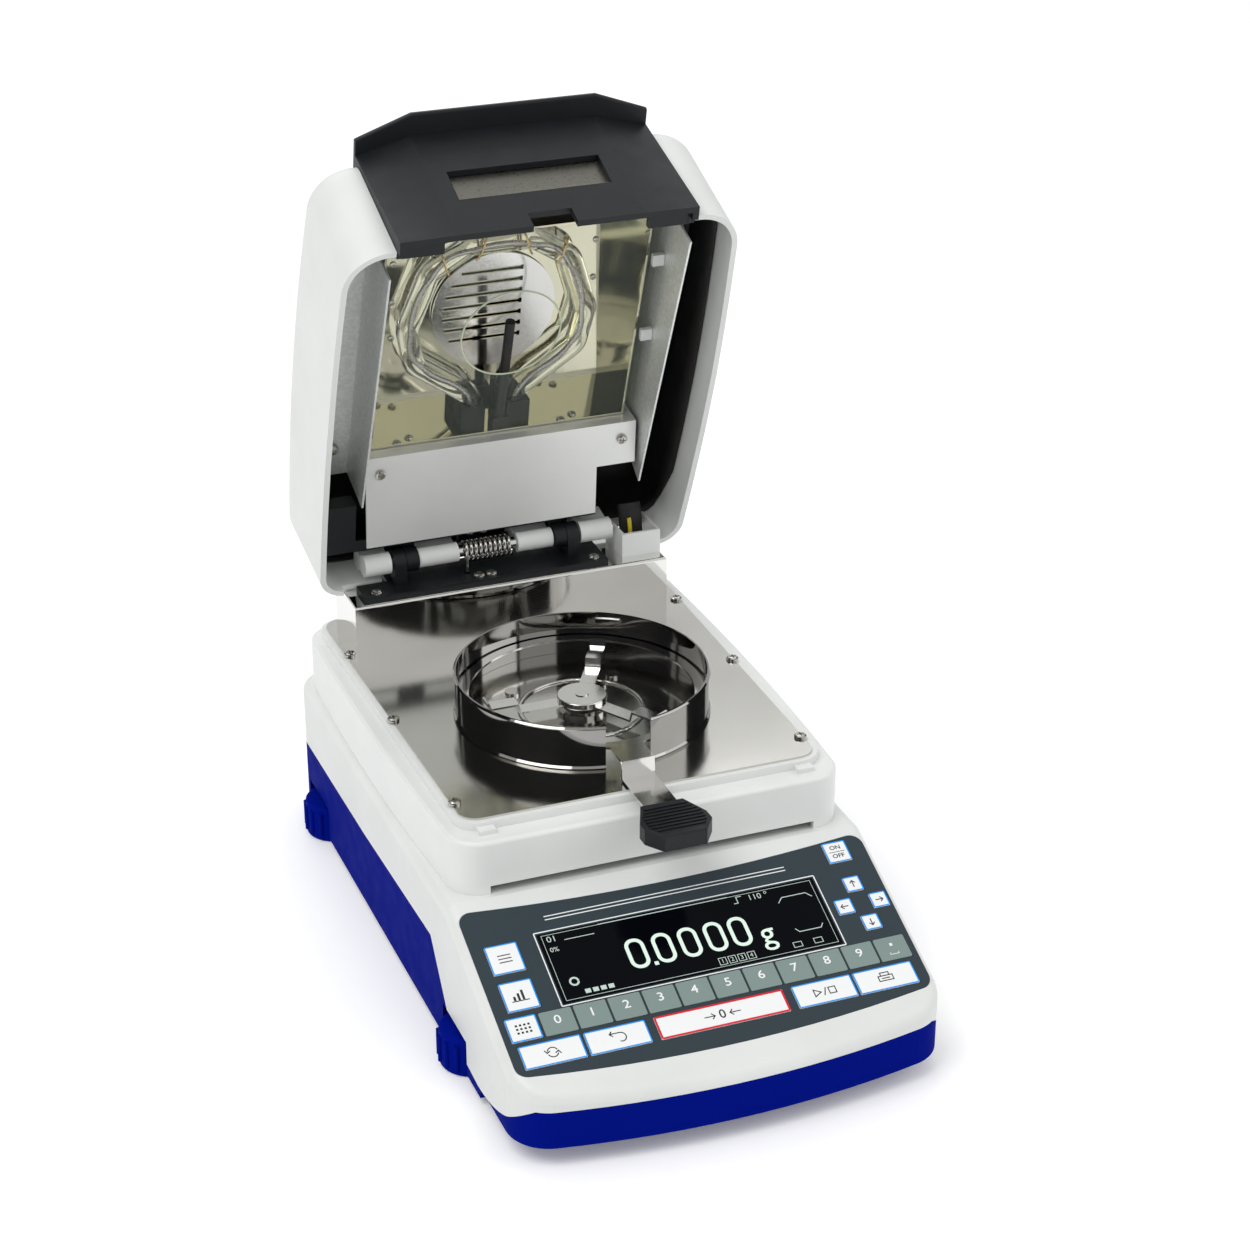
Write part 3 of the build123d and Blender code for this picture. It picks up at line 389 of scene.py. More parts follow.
def sign_parts(key, cx, cy):
    """Plain signs for the keys that carry no figure."""
    line = sign_line
    if key in arrow_turns:
        return arrow(cx, cy, 3.6, arrow_turns[key])
    if key == "menu_key":
        return [slab(cx - 3, cy + rise, 6, line) for rise in (-2, -0.2, 1.6)]
    if key == "method_key":
        bars = [slab(cx + side - 1, cy - 2.4, 1.1, tall) for side, tall in ((-2, 2.2), (0, 3.6), (2, 5.0))]
        return bars + [slab(cx - 4, cy - 3, 8, line)]
    if key == "letter_key":
        return [slab(cx + i * 1.9 - 0.5, cy + j * 1.9 - 0.5, 1, 1)
                for i in (-1.5, -0.5, 0.5, 1.5) for j in (-1, 0, 1)]
    if key == "unit_key":
        loop = [arc_line(cx, cy, 2.4, 20, 160, line), arc_line(cx, cy, 2.4, 200, 340, line)]
        return loop + arrow(cx - 2.5, cy + 0.2, 0.6, 255) + arrow(cx + 2.5, cy, 0.6, 75)
    if key == "reset_key":
        bend = [arc_line(cx + 1.5, cy, 2.2, -120, 90, line), slab(cx - 3, cy + 2.03, 4.5, line)]
        return bend + arrow(cx - 2.8, cy + 2.2, 1, 180)
    if key == "tare_key":
        zero = lettering("0", 6.4, cx, cy, 1.0, 0.05)
        return [zero] + arrow(cx - 6, cy, 5, 0, 1.5) + arrow(cx + 6, cy, 5, 180, 1.5)
    if key == "start_key":
        play = ribbon([(cx - 5, cy - 1.8), (cx - 5, cy + 1.8), (cx - 1.8, cy)], line, closed=True)
        stroke = ribbon([(cx - 0.7, cy - 2), (cx + 0.9, cy + 2)], line)
        return [play, stroke, box_line(cx + 2, cy - 1.6, 3.2, 3.2, line)]
    if key == "print_key":
        return [box_line(cx - 3.4, cy - 1.4, 6.8, 2.6, line), box_line(cx - 2, cy + 1.2, 4, 1.6, line),
                slab(cx - 2, cy - 0.4, 4, line)]
    return [lettering("ON", 3.1, cx, cy + 2.4, 1.1, 0.05), slab(cx - 3.8, cy - 0.1, 7.6, 0.3),
            lettering("OFF", 3.1, cx, cy - 2.3, 1.1, 0.05)]


figure_start, figure_pitch = -79.0, 15.87
figure_names = [f"key_{i}" for i in range(10)] + ["key_point"]
key_places = {name: (figure_start + figure_pitch * i, 15.2, 14.8, 12.1)
              for i, name in enumerate(figure_names)}
key_places.update({
    "menu_key": (-91.2, 50.4, 14.9, 15.2), "method_key": (-91.2, 30.6, 14.9, 15.1),
    "letter_key": (-94.4, 15.4, 14.1, 12.1), "unit_key": (-93.0, 1.2, 28.1, 11.7),
    "reset_key": (-63.4, 1.2, 28.2, 11.7), "tare_key": (-31.1, 1.2, 60.7, 11.7),
    "start_key": (33.8, 1.2, 28.4, 11.7), "print_key": (63.4, 1.2, 28.6, 11.7),
    "power_key": (77.7, 71.9, 11.4, 11.4), "up_key": (79.5, 54.8, 8.1, 8.1),
    "down_key": (79.5, 33.0, 8.1, 8.1), "left_key": (70.8, 43.8, 8.1, 8.1),
    "right_key": (88.0, 43.8, 8.1, 8.1),
})
for key, (u, v, width, height) in key_places.items():
    cx, cy = u + width / 2, v + height / 2
    body = key + "_cap"
    if key == "key_point":
        bracket = [(cx - 2, cy - 2.2), (cx - 2, cy - 3.2), (cx + 2, cy - 3.2), (cx + 2, cy - 2.2)]
        parts = [slab(cx - 0.7, cy + 1.2, 1.4, 1.4), ribbon(bracket, 0.3)]
        printed("sign_" + key, parts, print_white, body, key_top)
    elif key in figure_names:
        parts = [lettering(key[-1], 6.0, cx, cy + 1.0, 1.15, 0.05)]
        printed("figure_" + key, parts, print_white, body, key_top)
    else:
        edge, edge_ink = (0.95, print_red) if key == "tare_key" else (0.62, print_blue)
        corners = rounded(u + edge / 2, v + edge / 2, width - edge, height - edge, 0.5)
        printed("outline_" + key, [ribbon(corners, edge, closed=True)], edge_ink, body, key_top)
        printed("sign_" + key, sign_parts(key, cx, cy), print_dark, body, key_top)

# Printing on the film: white screen ink, a line round the display and a pair of plain
# pinstripes above it.
film_top = 0.02
film_lines = [ribbon(rounded(-67.4, 28.3, 134.8, 39.4, 0.4), 0.55, closed=True)]
film_lines += [slab(-60, v, 116, 0.5) for v in (73.4, 75.2)]
printed("film_lines", film_lines, print_white, "base", film_top)

# Display: a black glass window flush with the film. Behind it shine the large figures of the
# reading and dimmer, plain status signs.
display_glass = plastic("display_glass", (0.0015, 0.002, 0.0035), 0.12, grain=300, strength=0.0,
                        specular=0.06)
lit = ink("display_lit", (0.58, 0.70, 0.62), 0.4, 0.36)
lit_dim = ink("display_lit_dim", (0.45, 0.55, 0.50), 0.4, 0.25)
dress(display_glass, "display_module")
zero_width, zero_height, zero_low = 7.4, 14.2, 39.6
reading = [
    ribbon(rounded(middle - zero_width / 2, zero_low, zero_width, zero_height, 3.4, 6), 1.75, closed=True)
    for middle in (-26.0, -13.4, -1.1, 11.2, 22.9)
]
reading += [slab(-20.3, 38.7, 1.9, 1.9), lettering("g", 17, 34.6, 42.6, 0.95, 0.06)]
signs = [
    ribbon([(26, 61.5), (28, 61.5), (28, 64.8), (30.5, 64.8)], 0.4),
    lettering("110", 4.2, 36.5, 63, 1.05),
    arc_line(42, 64.2, 0.6, 0, 350, 0.25),
    lettering("01", 4.4, -60.5, 63, 1.1),
    slab(-55, 61.3, 14, 0.35),
    lettering("0%", 3.4, -61, 57.4, 1.05),
    slab(-38, 65.6, 62, 0.3),
    arc_line(-58, 39.4, 1.9, 0, 355, 0.9),
]
signs += [slab(-55 + 3.6 * i, 32.2, 2.6, 2.2) for i in range(4)]
signs += [box_line(8 + 4.6 * i, 31.6, 3.4, 3.6, 0.3) for i in range(4)]
signs += [lettering(str(i + 1), 3.0, 9.7 + 4.6 * i, 33.4) for i in range(4)]
signs += [
    ribbon([(46, 57), (48.5, 59.6), (60, 59.6), (62.5, 57)], 0.4),
    ribbon([(48, 42), (49.5, 40), (60, 40), (61.5, 42)], 0.4),
]
signs += [box_line(44 + 10 * i, 32.4, 4, 2.6, 0.3) for i in range(2)]
signs.append(box_line(-64.6, 30.6, 129.2, 35.0, 0.22))
printed("display_figures", reading, lit, "base", film_top)
printed("display_signs", signs, lit_dim, "base", film_top)

# Heating tray: a white moulding that stands on the upper housing. Its floor is a polished
# steel plate with an embossed ring, a collar and three round pads.
tray_white = plastic("white_tray_moulding", (0.765, 0.78, 0.765), 0.36, grain=1100)
floor_steel = metal("floor_plate_steel", (0.66, 0.655, 0.62), 0.13, grain=1500, strength=0.12)
dress(tray_white, "heating_tray")
dress(floor_steel, "floor_plate")

# Wind shield, pan support and pan lifter: rolled and pressed steel, with a black moulded grip
# pushed over the end of the lifter's strip.
# The shield's steel has a darkened base colour: a painted dark reflection of the room round it.
shield_steel_painted_dark = metal("shield_steel_painted_dark", (0.34, 0.335, 0.325), 0.05, grain=90, strength=0.04)
pressed_steel = metal("pressed_steel", (0.80, 0.79, 0.77), 0.12, grain=700, strength=0.05)
black = plastic("black_moulding", (0.006, 0.008, 0.010), 0.42, grain=1500, strength=0.3, specular=0.38)
dress(shield_steel_painted_dark, "wind_shield")
dress(pressed_steel, "pan_support", "pan_lifter")
dress(black, "lifter_handle")

# Hinge: a mirror-bright box of folded sheet with a black lower leaf, a ground shaft and a
# wound spring, whose lower leg stands in a slot of the leaf.
mirror_steel = metal("mirror_steel", (0.87, 0.865, 0.84), 0.03, grain=60, strength=0.02, contrast=0.02)
spring_steel = metal("spring_steel", (0.60, 0.59, 0.56), 0.18, grain=900, strength=0.1)
dress(mirror_steel, "hinge_box")
dress(black, "hinge_lower_leaf")
dress(pressed_steel, "hinge_shaft")
hinge_depth, hinge_height = 319, 144
hinge = Vector(spot(0, hinge_depth, hinge_height))
coil_radius, coil_turns, coil_pitch, coil_start = 5.4, 10, 2.5, -19.5
coil_steps = 16


def tube(points, radius, name, sides, closed=False):
    """Round wire, radius in millimetres, along a smooth line through the points."""
    curve = bpy.data.curves.new(name, "CURVE")
    curve.dimensions = "3D"
    curve.bevel_depth = radius * mm
    curve.bevel_resolution = sides // 4
    curve.resolution_u = 6
    curve.use_fill_caps = not closed
    line = curve.splines.new("NURBS")
    line.points.add(len(points) - 1)
    for control, p in zip(line.points, points):
        control.co = (*p, 1)
    line.order_u = 3
    line.use_endpoint_u = not closed
    line.use_cyclic_u = closed
    return plain_mesh(linked(name, curve))


def by_hinge(x, behind, above):
    """A place from millimetres across, behind the hinge line and above it."""
    return spot(x, hinge_depth + behind, hinge_height + above)


coil = [by_hinge(coil_start, -coil_radius, -drop) for drop in (10.6, 6, 2)]
for i in range(coil_turns * coil_steps + 1):
    turn = 2 * math.pi * i / coil_steps
    along_shaft = coil_start + coil_pitch * i / coil_steps
    coil.append(by_hinge(along_shaft, -coil_radius * math.cos(turn), coil_radius * math.sin(turn)))
spring = piece("torsion_spring", tube(coil, 0.8, "torsion_spring", 12), spring_steel, "base", True)
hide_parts("hinge_spring")

# Screws: plated pan heads with a cross recess, which hold the floor plate, the hinge leaves
# and the lid's sheets. One head is cut, and geometry nodes repeat it.
screw_steel = metal("screw_steel", (0.55, 0.54, 0.50), 0.22, grain=900, strength=0.15)
head_radius, head_height, head_sides = 3.0 * mm, 1.9 * mm, 24
head_rings = ((1.0, 0), (1.0, 0.42), (0.93, 0.68), (0.74, 0.88), (0.42, 0.98))
recess_long, recess_wide, recess_floor = 3.4 * mm, 0.75 * mm, 0.48 * head_height


def screw_head():
    """Domed head with a cross-shaped recess, standing on z = 0."""
    dome = bmesh.new()
    rows = []
    for share, level in head_rings:
        ring = arc(0, 0, head_radius * share, 0, 360, head_sides)[:-1]
        rows.append([dome.verts.new((x, y, head_height * level)) for x, y in ring])
    for low, high in zip(rows, rows[1:]):
        for i in range(head_sides):
            j = (i + 1) % head_sides
            dome.faces.new((low[i], low[j], high[j], high[i]))
    dome.faces.new(rows[-1])
    dome.faces.new(list(reversed(rows[0])))
    head = linked("screw_head", to_mesh(dome, "screw_head"))
    bars = [slab(-long / 2, -wide / 2, long, wide, head_height)
            for long, wide in ((recess_long, recess_wide), (recess_wide, recess_long))]
    cross = merged("cross_recess", bars, Matrix.Translation((0, 0, recess_floor)))
    cutter = linked("cross_recess", cross)
    cut = head.modifiers.new("recess", "BOOLEAN")
    cut.operation = "DIFFERENCE"
    cut.solver = "EXACT"
    cut.use_self = True
    cut.object = cutter
    mesh = plain_mesh(head)
    bpy.data.objects.remove(cutter)
    return mesh


def size_tree(name, *sizes):
    """Geometry node tree with a named input for each size, and the sockets to draw them from."""
    tree = bpy.data.node_groups.new(name, "GeometryNodeTree")
    for end in ("INPUT", "OUTPUT"):
        tree.interface.new_socket(name="Geometry", in_out=end, socket_type="NodeSocketGeometry")
    for size in sizes:
        tree.interface.new_socket(name=size, in_out="INPUT", socket_type="NodeSocketFloat")
    return tree, tree.nodes.new("NodeGroupInput").outputs


def realized(tree, instances, material):
    """Ends a tree with real geometry of one material."""
    real = node(tree, "GeometryNodeRealizeInstances", Geometry=instances)
    paint = node(tree, "GeometryNodeSetMaterial", Geometry=real.outputs["Geometry"], Material=material)
    node(tree, "NodeGroupOutput", Geometry=paint.outputs["Geometry"])


def grown(name, tree, start, **sizes):
    """Plain mesh that the tree makes from a start mesh at these sizes."""
    holder = linked(name, start)
    modifier = holder.modifiers.new(name, "NODES")
    modifier.node_group = tree
    for socket in tree.interface.items_tree:
        if socket.name in sizes:
            modifier[socket.identifier] = float(sizes[socket.name])
    return plain_mesh(holder)


def repeated(name, template, places, size, flipped=False):
    """One mesh with the template standing at every place, turned over where it hangs."""
    tree, given = size_tree(name, "Size")
    pattern = linked(name + "_pattern", template)
    info = node(tree, "GeometryNodeObjectInfo", Object=pattern)
    heads = node(tree, "GeometryNodeInstanceOnPoints", Points=given["Geometry"],
                 Instance=info.outputs["Geometry"], Scale=given["Size"],
                 Rotation=(math.pi if flipped else 0, 0, 0))
    realized(tree, heads.outputs["Instances"], screw_steel)
    points = bpy.data.meshes.new(name)
    points.from_pydata(places, [], [])
    mesh = grown(name, tree, points, Size=size)
    bpy.data.objects.remove(pattern)
    return mesh


head_mesh = screw_head()
leaf_size, sheet_size = 2.8 * mm / head_radius, 2.6 * mm / head_radius
plate_places = [spot(side * x, depth, 108)
                for x, depth in ((84.7, 139), (86.9, 224), (86.9, 297)) for side in (-1, 1)]
leaf_places = [spot(x, depth, 134.2)
               for x, depth in ((-69, 306.6), (45.5, 306.6), (-15.5, 307.2), (-9, 307.2))]
base_heads = merged("base_screw_heads", [
    repeated("plate_screws", head_mesh, plate_places, 1.0),
    repeated("leaf_screws", head_mesh, leaf_places, leaf_size),
])
base_heads_piece = piece("base_screw_heads", base_heads, screw_steel, "base")
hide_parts("base_screws")

# Cable duct: an open white box beside the hinge. The lamp lead leaves it in a flat black
# sleeve, with a yellow earth wire in front that leans back as it rises.
dress(tray_white, "cable_duct")
soft_black = plastic("black_sleeve", (0.012, 0.012, 0.012), 0.6, grain=900, strength=0.3)
yellow = plastic("yellow_wire", (0.62, 0.50, 0.02), 0.4, grain=900, strength=0.1)
dress(soft_black, "lamp_cable")
wire_back, wire_bend, wire_lean = 317.55, 142, 0.29
lead_mesh = cad_pieces["lamp_cable"].data
lead_mesh.materials.append(yellow)
for face in lead_mesh.polygons:
    behind = (face.center.y - front_y) / mm
    above = max(0, face.center.z / mm - wire_bend)
    if behind < wire_back + wire_lean * above:
        face.material_index = 1

# Lid: a white moulding that swings on the hinge. Inside it a black liner, painted shade for the
# lid's cavity, leaves a white band along the rim. Lid pieces are drawn shut and swung open by lid_swing.
dress(white, "lid_shell")
lid_turn = Matrix.Rotation(math.radians(-77.6), 4, "X")
lid_swing = Matrix.Translation(hinge) @ lid_turn @ Matrix.Translation(-hinge)
# Black liner: painted shade, a dark sheet that darkens the inside of the lid where the cavity lies in
# shadow.
painted_shade_black = plastic("painted_shade_liner_black", (0.010, 0.010, 0.010), 0.6, grain=900, strength=0.3)
rim_points = ((100, 104.4), (119.2, 107.7), (129, 109.7), (218.7, 121.0), (268.5, 128.5), (340, 139.5))
roof_points = ((108, 175.5), (160, 183.2), (215, 190.5), (270, 197.1), (330.5, 203))
plan_front, plan_rear = 96, 330.5
half_front, half_gain, half_bulge = 93.6, 1.9, 3.45
front_foot, front_foot_z, front_lean, front_edge = 121.9, 90, 13.9 / 85.5, 118
front_corner, rear_corner = 19.0, 11
front_steps, side_steps, rear_steps = 6, 8, 5
box_front, box_rear, box_clearance, box_lean = 290, 318, 161.5, 0.8
shell_wall, liner_play, liner_sheet = 2.8, 0.5, 0.4
liner_gap = shell_wall + liner_play


def along(points, depth):
    """Height of a broken line at this depth."""
    for (a, low), (b, high) in zip(points, points[1:]):
        if depth <= b:
            return low + (high - low) * (depth - a) / (b - a)
    return points[-1][1]


def half_width(depth):
    """Half-width of the black liner of painted shade: an arc through the lid's front, middle and rear."""
    share = (depth - plan_front) / (plan_rear - plan_front)
    return half_front + half_gain * share + 4 * half_bulge * share * (1 - share) - liner_gap


def liner_height(depth, level):
    """A rise over the rim, and over the hinge box at the rear, or below 0 a drop from the roof."""
    if level < 0:
        return along(roof_points, depth) + level
    low = along(rim_points, depth) + level
    return max(low, box_clearance - max(0, box_rear - depth) * box_lean) if depth > box_front else low


def liner_ring(level, inset):
    """Outline of the black liner of painted shade at one level, drawn in by the inset."""
    lean = (liner_height(front_edge, level) - front_foot_z) * front_lean
    front = front_foot - lean + liner_gap + inset
    rear = plan_rear - liner_gap - inset
    plan = []
    for x, y in reversed(arc(0, 0, front_corner, 0, 90, front_steps)):
        start = front + front_corner
        plan.append((half_width(start) - inset - front_corner + x, start - y))
    for i in range(1, side_steps + 1):
        depth = front + front_corner + (rear - rear_corner - front - front_corner) * i / side_steps
        plan.append((half_width(depth) - inset, depth))
    for x, y in arc(0, 0, rear_corner, 0, 90, rear_steps)[1:]:
        plan.append((half_width(rear) - inset - rear_corner + x, rear - rear_corner + y))
    ring = plan + [(-x, depth) for x, depth in reversed(plan)]
    return [spot(x, depth, liner_height(depth, level)) for x, depth in ring]


def lid_piece(name, mesh, material, smooth=False):
    """A piece drawn on the shut lid and swung open with it."""
    mesh.transform(lid_swing)
    return piece(name, mesh, material, "lid", smooth)


# The liner is painted shade: it lines the lid's cavity in black.
liner = bmesh.new()
rows = [[liner.verts.new(p) for p in liner_ring(level, inset)]
        for level, inset in ((17, 0), (30, 0), (-12, 0.4), (-6, 4), (-3.6, 9))]
count = len(rows[0])
for low, high in zip(rows, rows[1:]):
    for i in range(count):
        j = (i + 1) % count
        liner.faces.new((low[i], low[j], high[j], high[i]))
roof = rows[-1]
for i in range(count // 2 - 1):
    liner.faces.new((roof[i], roof[i + 1], roof[count - 2 - i], roof[count - 1 - i]))
bmesh.ops.recalc_face_normals(liner, faces=liner.faces)
bmesh.ops.solidify(liner, geom=liner.faces[:], thickness=liner_sheet * mm)
bmesh.ops.recalc_face_normals(liner, faces=liner.faces)
lid_piece("heat_shield", to_mesh(liner, "heat_shield"), painted_shade_black, True)

# Front panel: a black moulding with an overhanging lip and a slot window. Woven wire, crossed
# and repeated by geometry nodes, closes the window from behind.
dress(black, "front_panel")
mesh_wire = metal("mesh_wire", (0.42, 0.41, 0.36), 0.35, grain=900)
window_width, window_low, window_high = 75.0, 126.2, 147.5
wire_pitch, wire_thickness, wire_inset = 0.55, 0.16, 3.6
panel_foot, panel_foot_z, panel_back, panel_tall = 111.8, 104, 13.0, 70.6


def woven_wire(name, material, **sizes):
    """Two crossed rows of wires over a Width and a Height, with a Spacing and a Thickness."""
    tree, given = size_tree(name, "Width", "Height", "Spacing", "Thickness")
    width, height, thickness = (given[size] for size in ("Width", "Height", "Thickness"))
    both = tree.nodes.new("GeometryNodeJoinGeometry")
    for wire_size, run in (
        ({"X": width, "Y": thickness}, {"Y": height}),
        ({"X": thickness, "Y": height}, {"X": width}),
    ):
        run = node(tree, "ShaderNodeCombineXYZ", **run).outputs["Vector"]
        start, end = (node(tree, "ShaderNodeVectorMath", operation="SCALE", Vector=run, Scale=share)
                      for share in (-0.5, 0.5))
        row = node(tree, "GeometryNodeMeshLine", mode="END_POINTS", count_mode="RESOLUTION",
                   Resolution=given["Spacing"], Start_Location=start.outputs["Vector"],
                   Offset=end.outputs["Vector"])
        size = node(tree, "ShaderNodeCombineXYZ", Z=thickness, **wire_size).outputs["Vector"]
        wire = node(tree, "GeometryNodeMeshCube", Size=size)
        wires = node(tree, "GeometryNodeInstanceOnPoints", Points=row.outputs["Mesh"],
                     Instance=wire.outputs["Mesh"])
        feed(tree, both.inputs["Geometry"], wires.outputs["Instances"])
    realized(tree, both.outputs["Geometry"], material)
    return grown(name, tree, bpy.data.meshes.new(name), **sizes)


window_middle = (window_low + window_high) / 2
gauze_depth = panel_foot - panel_back * (window_middle - panel_foot_z) / panel_tall + wire_inset
gauze = woven_wire("window_gauze", mesh_wire, Width=window_width * mm,
                   Height=(window_high - window_low) * mm, Spacing=wire_pitch * mm,
                   Thickness=wire_thickness * mm)
gauze_turn = Matrix.Rotation(math.pi / 2 + math.atan2(panel_back, panel_tall), 4, "X")
gauze.transform(Matrix.Translation(spot(0, gauze_depth, window_middle)) @ gauze_turn)
lid_piece("window_gauze", gauze, mesh_wire)


# Sheets of the lid: galvanised webs and flanges at the sides and a satin sheet below. Both
# are held by screws whose heads face the chamber.
def spangled(name):
    """Hot-dip zinc: flat crystals of slightly different greys."""
    made = Surface(name, Grain_Scale=900, Grain_Detail=3)
    cells = node(made.tree, "ShaderNodeTexVoronoi", Vector=made.place, Scale=700)
    crystal = node(made.tree, "ShaderNodeSeparateColor", Color=cells.outputs["Color"])
    made.tint(crystal.outputs["Red"], (0.76, 0.78, 0.76), (0.84, 0.86, 0.84))
    made.feed(Roughness=between(made.tree, crystal.outputs["Green"], 0.38, 0.46), Metallic=0.55)
    made.relief(0.05, 0.05 * mm)
    return made.material


zinc = spangled("galvanised_sheet")
satin_steel = metal("satin_steel", (0.86, 0.87, 0.85), 0.42, grain=700, stretch=(1, 10, 10), strength=0.06,
                    metallic=0.55)
dress(zinc, "side_sheets")
dress(satin_steel, "lower_sheet")
dress(black, "hinge_upper_leaf")
flange_front, flange_z, flange_rise = 135, 145.1, 0.17
flange_places = [spot(side * 82, depth, flange_z + flange_rise * (depth - flange_front))
                 for side in (-1, 1) for depth in (148, 262)]
upper_leaf_places = [spot(x, 309.2, 147.8) for x in (-15.5, -8.5)]
sheet_places = [spot(x, 268, 148.1) for x in (-63, 63)]
lid_heads = merged("lid_screw_heads", [
    repeated("flange_screws", head_mesh, flange_places, 1.0, True),
    repeated("upper_leaf_screws", head_mesh, upper_leaf_places, leaf_size, True),
    repeated("sheet_screws", head_mesh, sheet_places, sheet_size, True),
])
lid_heads_piece = lid_piece("lid_screw_heads", lid_heads, screw_steel)
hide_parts("lid_screws")

# Reflector: a bright folded box with rivets in its roof, round a slotted vent disc, and small
# screws in its rear wall. White clips hold the glass pane over its mouth.
gold_mirror = metal("reflector_mirror", (0.72, 0.70, 0.53), 0.05, grain=24, strength=0.05, contrast=0.04)
dress(gold_mirror, "reflector")
dress(pressed_steel, "vent_disc")
dress(tray_white, "glass_clips")
rivet_side, rivet_roof, rear_wall = 51.3, 175.05, 257.7
rivet_places = [spot(side * rivet_side, depth, rivet_roof) for side in (-1, 1) for depth in (167, 188, 208)]
rivets = repeated("reflector_rivets", head_mesh, rivet_places, 0.55, True)
wall_places = [(x * mm, z * mm, 0) for x, z in ((-52, 158), (-45, 161), (33, 158), (40, 161))]
wall_heads = repeated("wall_screws", head_mesh, wall_places, 0.7)
wall_heads.transform(Matrix.Translation(spot(0, rear_wall, 0)) @ Matrix.Rotation(math.pi / 2, 4, "X"))
lid_piece("reflector_rivets", merged("reflector_rivets", [rivets, wall_heads]), screw_steel)


# Pane: thin clear glass with a round hole, whose ground edge catches the light, and the black
# temperature probe in front of it.
def clear(name, color, alpha, rough, transmission=0.0):
    """Clear glass with faint smears."""
    made = Surface(name, Patch_Scale=40, Patch_Detail=4, Rough_Low=rough, Rough_High=rough * 3)
    made.feed(Base_Color=(*color, 1), Alpha=alpha, Roughness=made.skin["Roughness"],
              Transmission_Weight=transmission)
    return made.material


pane_glass = clear("pane", (0.50, 0.56, 0.50), 0.05, 0.02)
pane_edge_glass = plastic("pane_edge", (0.62, 0.68, 0.50), 0.2, grain=200, strength=0.0)
pane_middle, pane_height, pane_lean = 196, 147.5, math.radians(7.3)
hole_radius = 25.2
hole_edge = [(x * mm, y * mm, 0) for x, y in arc(0, 0, hole_radius, 0, 350, 35)]
edge_mesh = tube(hole_edge, 0.45, "pane_edge", 8, True)
pane_place = Matrix.Translation(spot(0, pane_middle, pane_height)) @ Matrix.Rotation(pane_lean, 4, "X")
edge_mesh.transform(pane_place)
lid_piece("pane_edge", edge_mesh, pane_edge_glass, True)
dress(pane_glass, "lid_glass")
dress(soft_black, "temperature_sensor")

# Halogen lamp: a horseshoe of quartz tube in two black holders, with a fine coil inside that
# is seen through the glass.
tube_glass = clear("lamp_tube", (0.96, 0.97, 0.96), 1.0, 0.015, 1.0)
tungsten = metal("filament", (0.5, 0.48, 0.46), 0.3, grain=500)
dress(tube_glass, "halogen_lamp")
dress(black, "lamp_holders")
lamp_height = 168
lamp_side = [(11.6, 248), (11.6, 240), (42, 222), (45.7, 200), (37, 172), (20, 158)]
lamp_line = [(-x, depth) for x, depth in lamp_side] + lamp_side[::-1]
core = tube([spot(x, depth, lamp_height) for x, depth in lamp_line], 0.9, "lamp_filament", 8)
lid_piece("lamp_filament", core, tungsten, True)

# Lamp supports: bent gold-coloured wires that hang the horseshoe from the reflector's roof,
# each hooked under the tube.
gold_wire = metal("gold_wire", (0.62, 0.46, 0.20), 0.25, grain=900)
supports = []
for x, depth, lean in ((-31, 164, -2), (-10, 157, 2), (10, 157, -2), (31, 164, 2)):
    bend = ((x, depth + 5, 174.6), (x, depth + 2, 170), (x + lean, depth - 7, 168), (x, depth - 6, 161.5),
            (x - lean, depth + 3, 161.5), (x - 2 * lean, depth + 6, 163))
    supports.append(tube([spot(*p) for p in bend], 0.55, "lamp_supports", 8))
lid_piece("lamp_supports", merged("lamp_supports", supports), gold_wire, True)

# Floor: a wide sheet of white paper, a little lighter to the camera than to the object, so
# that the object keeps its shadow.
floor_glow = 0.14
bpy.ops.mesh.primitive_plane_add(size=14, location=(0, 0, 0))
ground = bpy.context.object
ground.name = "floor"
paper = plastic("floor_paper", (0.97, 0.97, 0.97), 0.8, grain=200, strength=0.02, contrast=0.002)
paper_tree = paper.node_tree
seen = paper_tree.nodes.new("ShaderNodeLightPath").outputs["Is Camera Ray"]
glow = node(paper_tree, "ShaderNodeMath", operation="MULTIPLY")
feed(paper_tree, glow.inputs[0], seen)
feed(paper_tree, glow.inputs[1], floor_glow)
paper_shader = paper_tree.nodes["Principled BSDF"].inputs
feed(paper_tree, paper_shader["Emission Color"], (1, 1, 1, 1))
feed(paper_tree, paper_shader["Emission Strength"], glow.outputs["Value"])
ground.data.materials.append(paper)

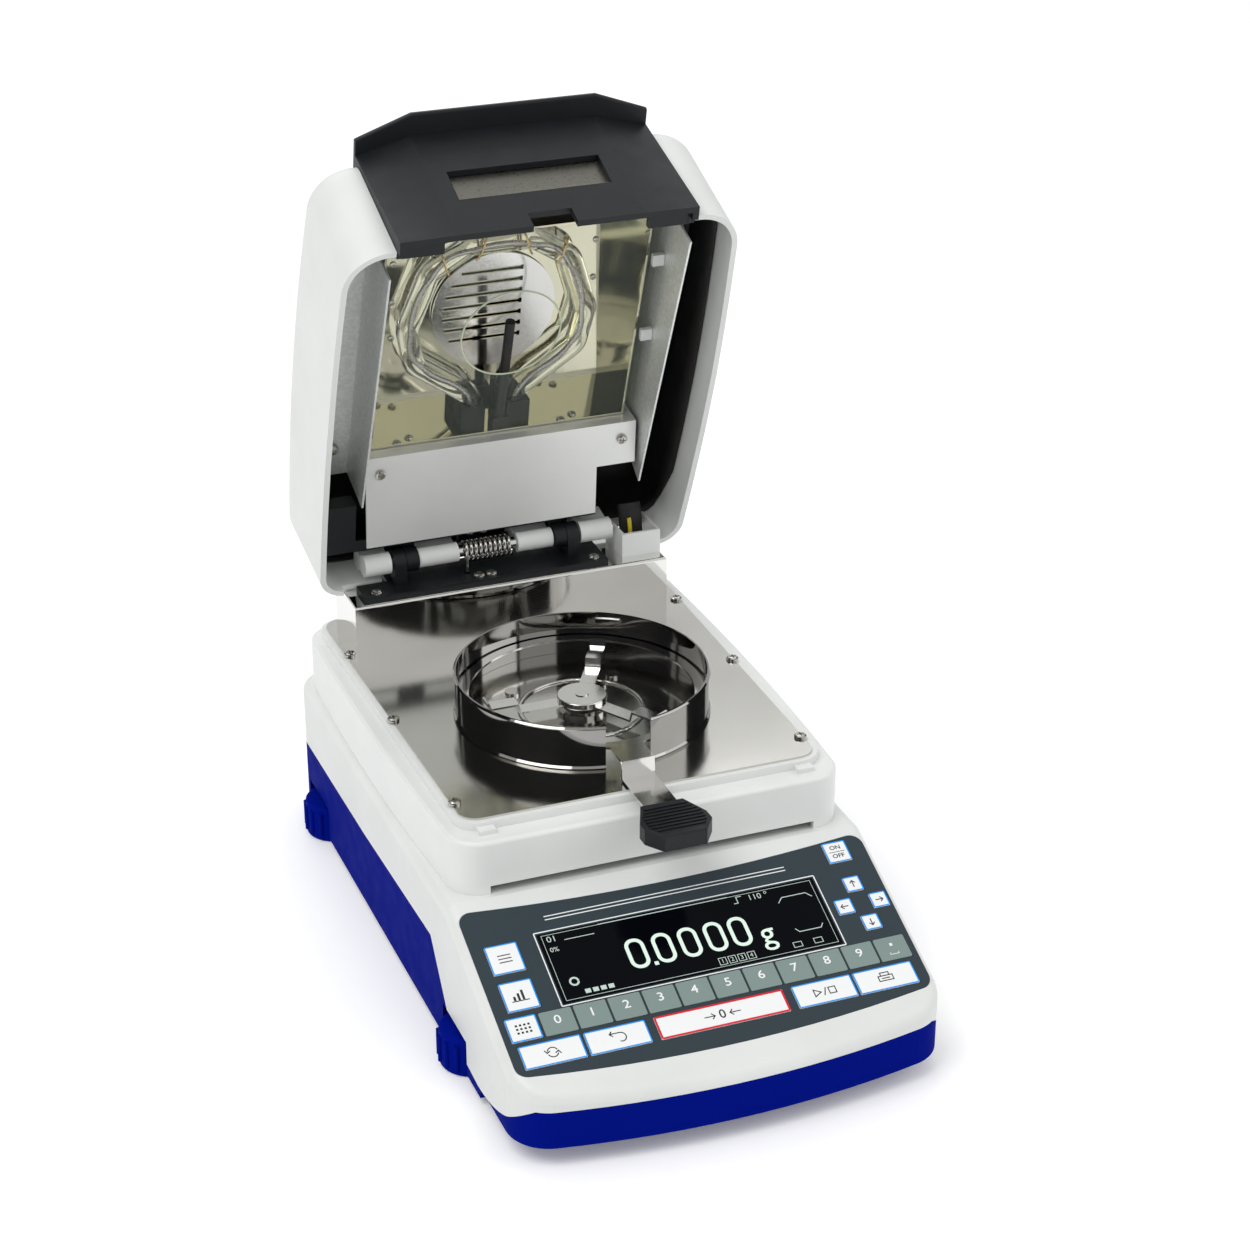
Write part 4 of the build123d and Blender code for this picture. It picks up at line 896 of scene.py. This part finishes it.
# Dark curtains beside the camera, seen only in reflections: the polished ring mirrors them,
# and the gap between them leaves the hinge box bright.
curtain_cloth = plastic("curtain_cloth", (0.006, 0.006, 0.008), 0.9, strength=0.0)
camera_side = -158.7
curtain_radius, curtain_low, curtain_high, curtain_steps = 2.3, 0.45, 2.1, 24
for side, first, last in (("left", -25, 140), ("right", -62, -150)):
    hung = bmesh.new()
    rows = []
    for i in range(curtain_steps + 1):
        turn = math.radians(camera_side + first + (last - first) * i / curtain_steps)
        x, y = curtain_radius * math.sin(turn), curtain_radius * math.cos(turn)
        rows.append((hung.verts.new((x, y, curtain_low)), hung.verts.new((x, y, curtain_high))))
    for (a, b), (c, d) in zip(rows, rows[1:]):
        hung.faces.new((a, c, d, b))
    curtain = linked(side + "_curtain", to_mesh(hung, side + "_curtain"))
    curtain.data.materials.append(curtain_cloth)
    curtain.visible_camera = False
    curtain.visible_diffuse = False
    curtain.visible_shadow = False
    curtain.visible_transmission = False


# Lamps and room: three large soft lamps and an even white surround light the object at a
# plain level.
def panel_light(name, place, target, size, power):
    """Rectangular lamp at a place, turned to its target."""
    data = bpy.data.lights.new(name, "AREA")
    data.shape = "RECTANGLE"
    data.size, data.size_y = size
    data.energy = power
    lamp = linked(name, data)
    lamp.location = place
    lamp.rotation_euler = (Vector(target) - Vector(place)).to_track_quat("-Z", "Y").to_euler()


panel_light("key_light", (-1.2, -0.5, 2.1), (0, 0, 0.12), (1.4, 1.4), 22)
panel_light("fill_light", (1.8, -0.8, 1.3), (0, 0, 0.12), (1.6, 1.2), 9)
panel_light("back_light", (0.2, 1.8, 1.8), (0, 0.1, 0.2), (2.0, 1.0), 8)
world = bpy.data.worlds.new("studio")
world.use_nodes = True
surround = world.node_tree.nodes["Background"].inputs
surround["Color"].default_value = (1, 1, 1, 1)
surround["Strength"].default_value = 0.68
bpy.context.scene.world = world

# Camera: a long lens above and to the left of the front, as in the photograph, solved from
# the corners of the film, the tray and the ring.
yaw, pitch = math.radians(21.338), math.radians(26.237)
aim = Vector((math.sin(yaw) * math.cos(pitch), math.cos(yaw) * math.cos(pitch), -math.sin(pitch)))
lens = bpy.data.cameras.new("camera")
lens.lens = 81.23
lens.sensor_width = 36
lens.clip_end = 50
camera = linked("camera", lens)
camera.location = spot(-411.67, -907.2, 735.57)
camera.rotation_euler = aim.to_track_quat("-Z", "Y").to_euler()
bpy.context.scene.camera = camera
bpy.context.scene.view_settings.view_transform = "Standard"
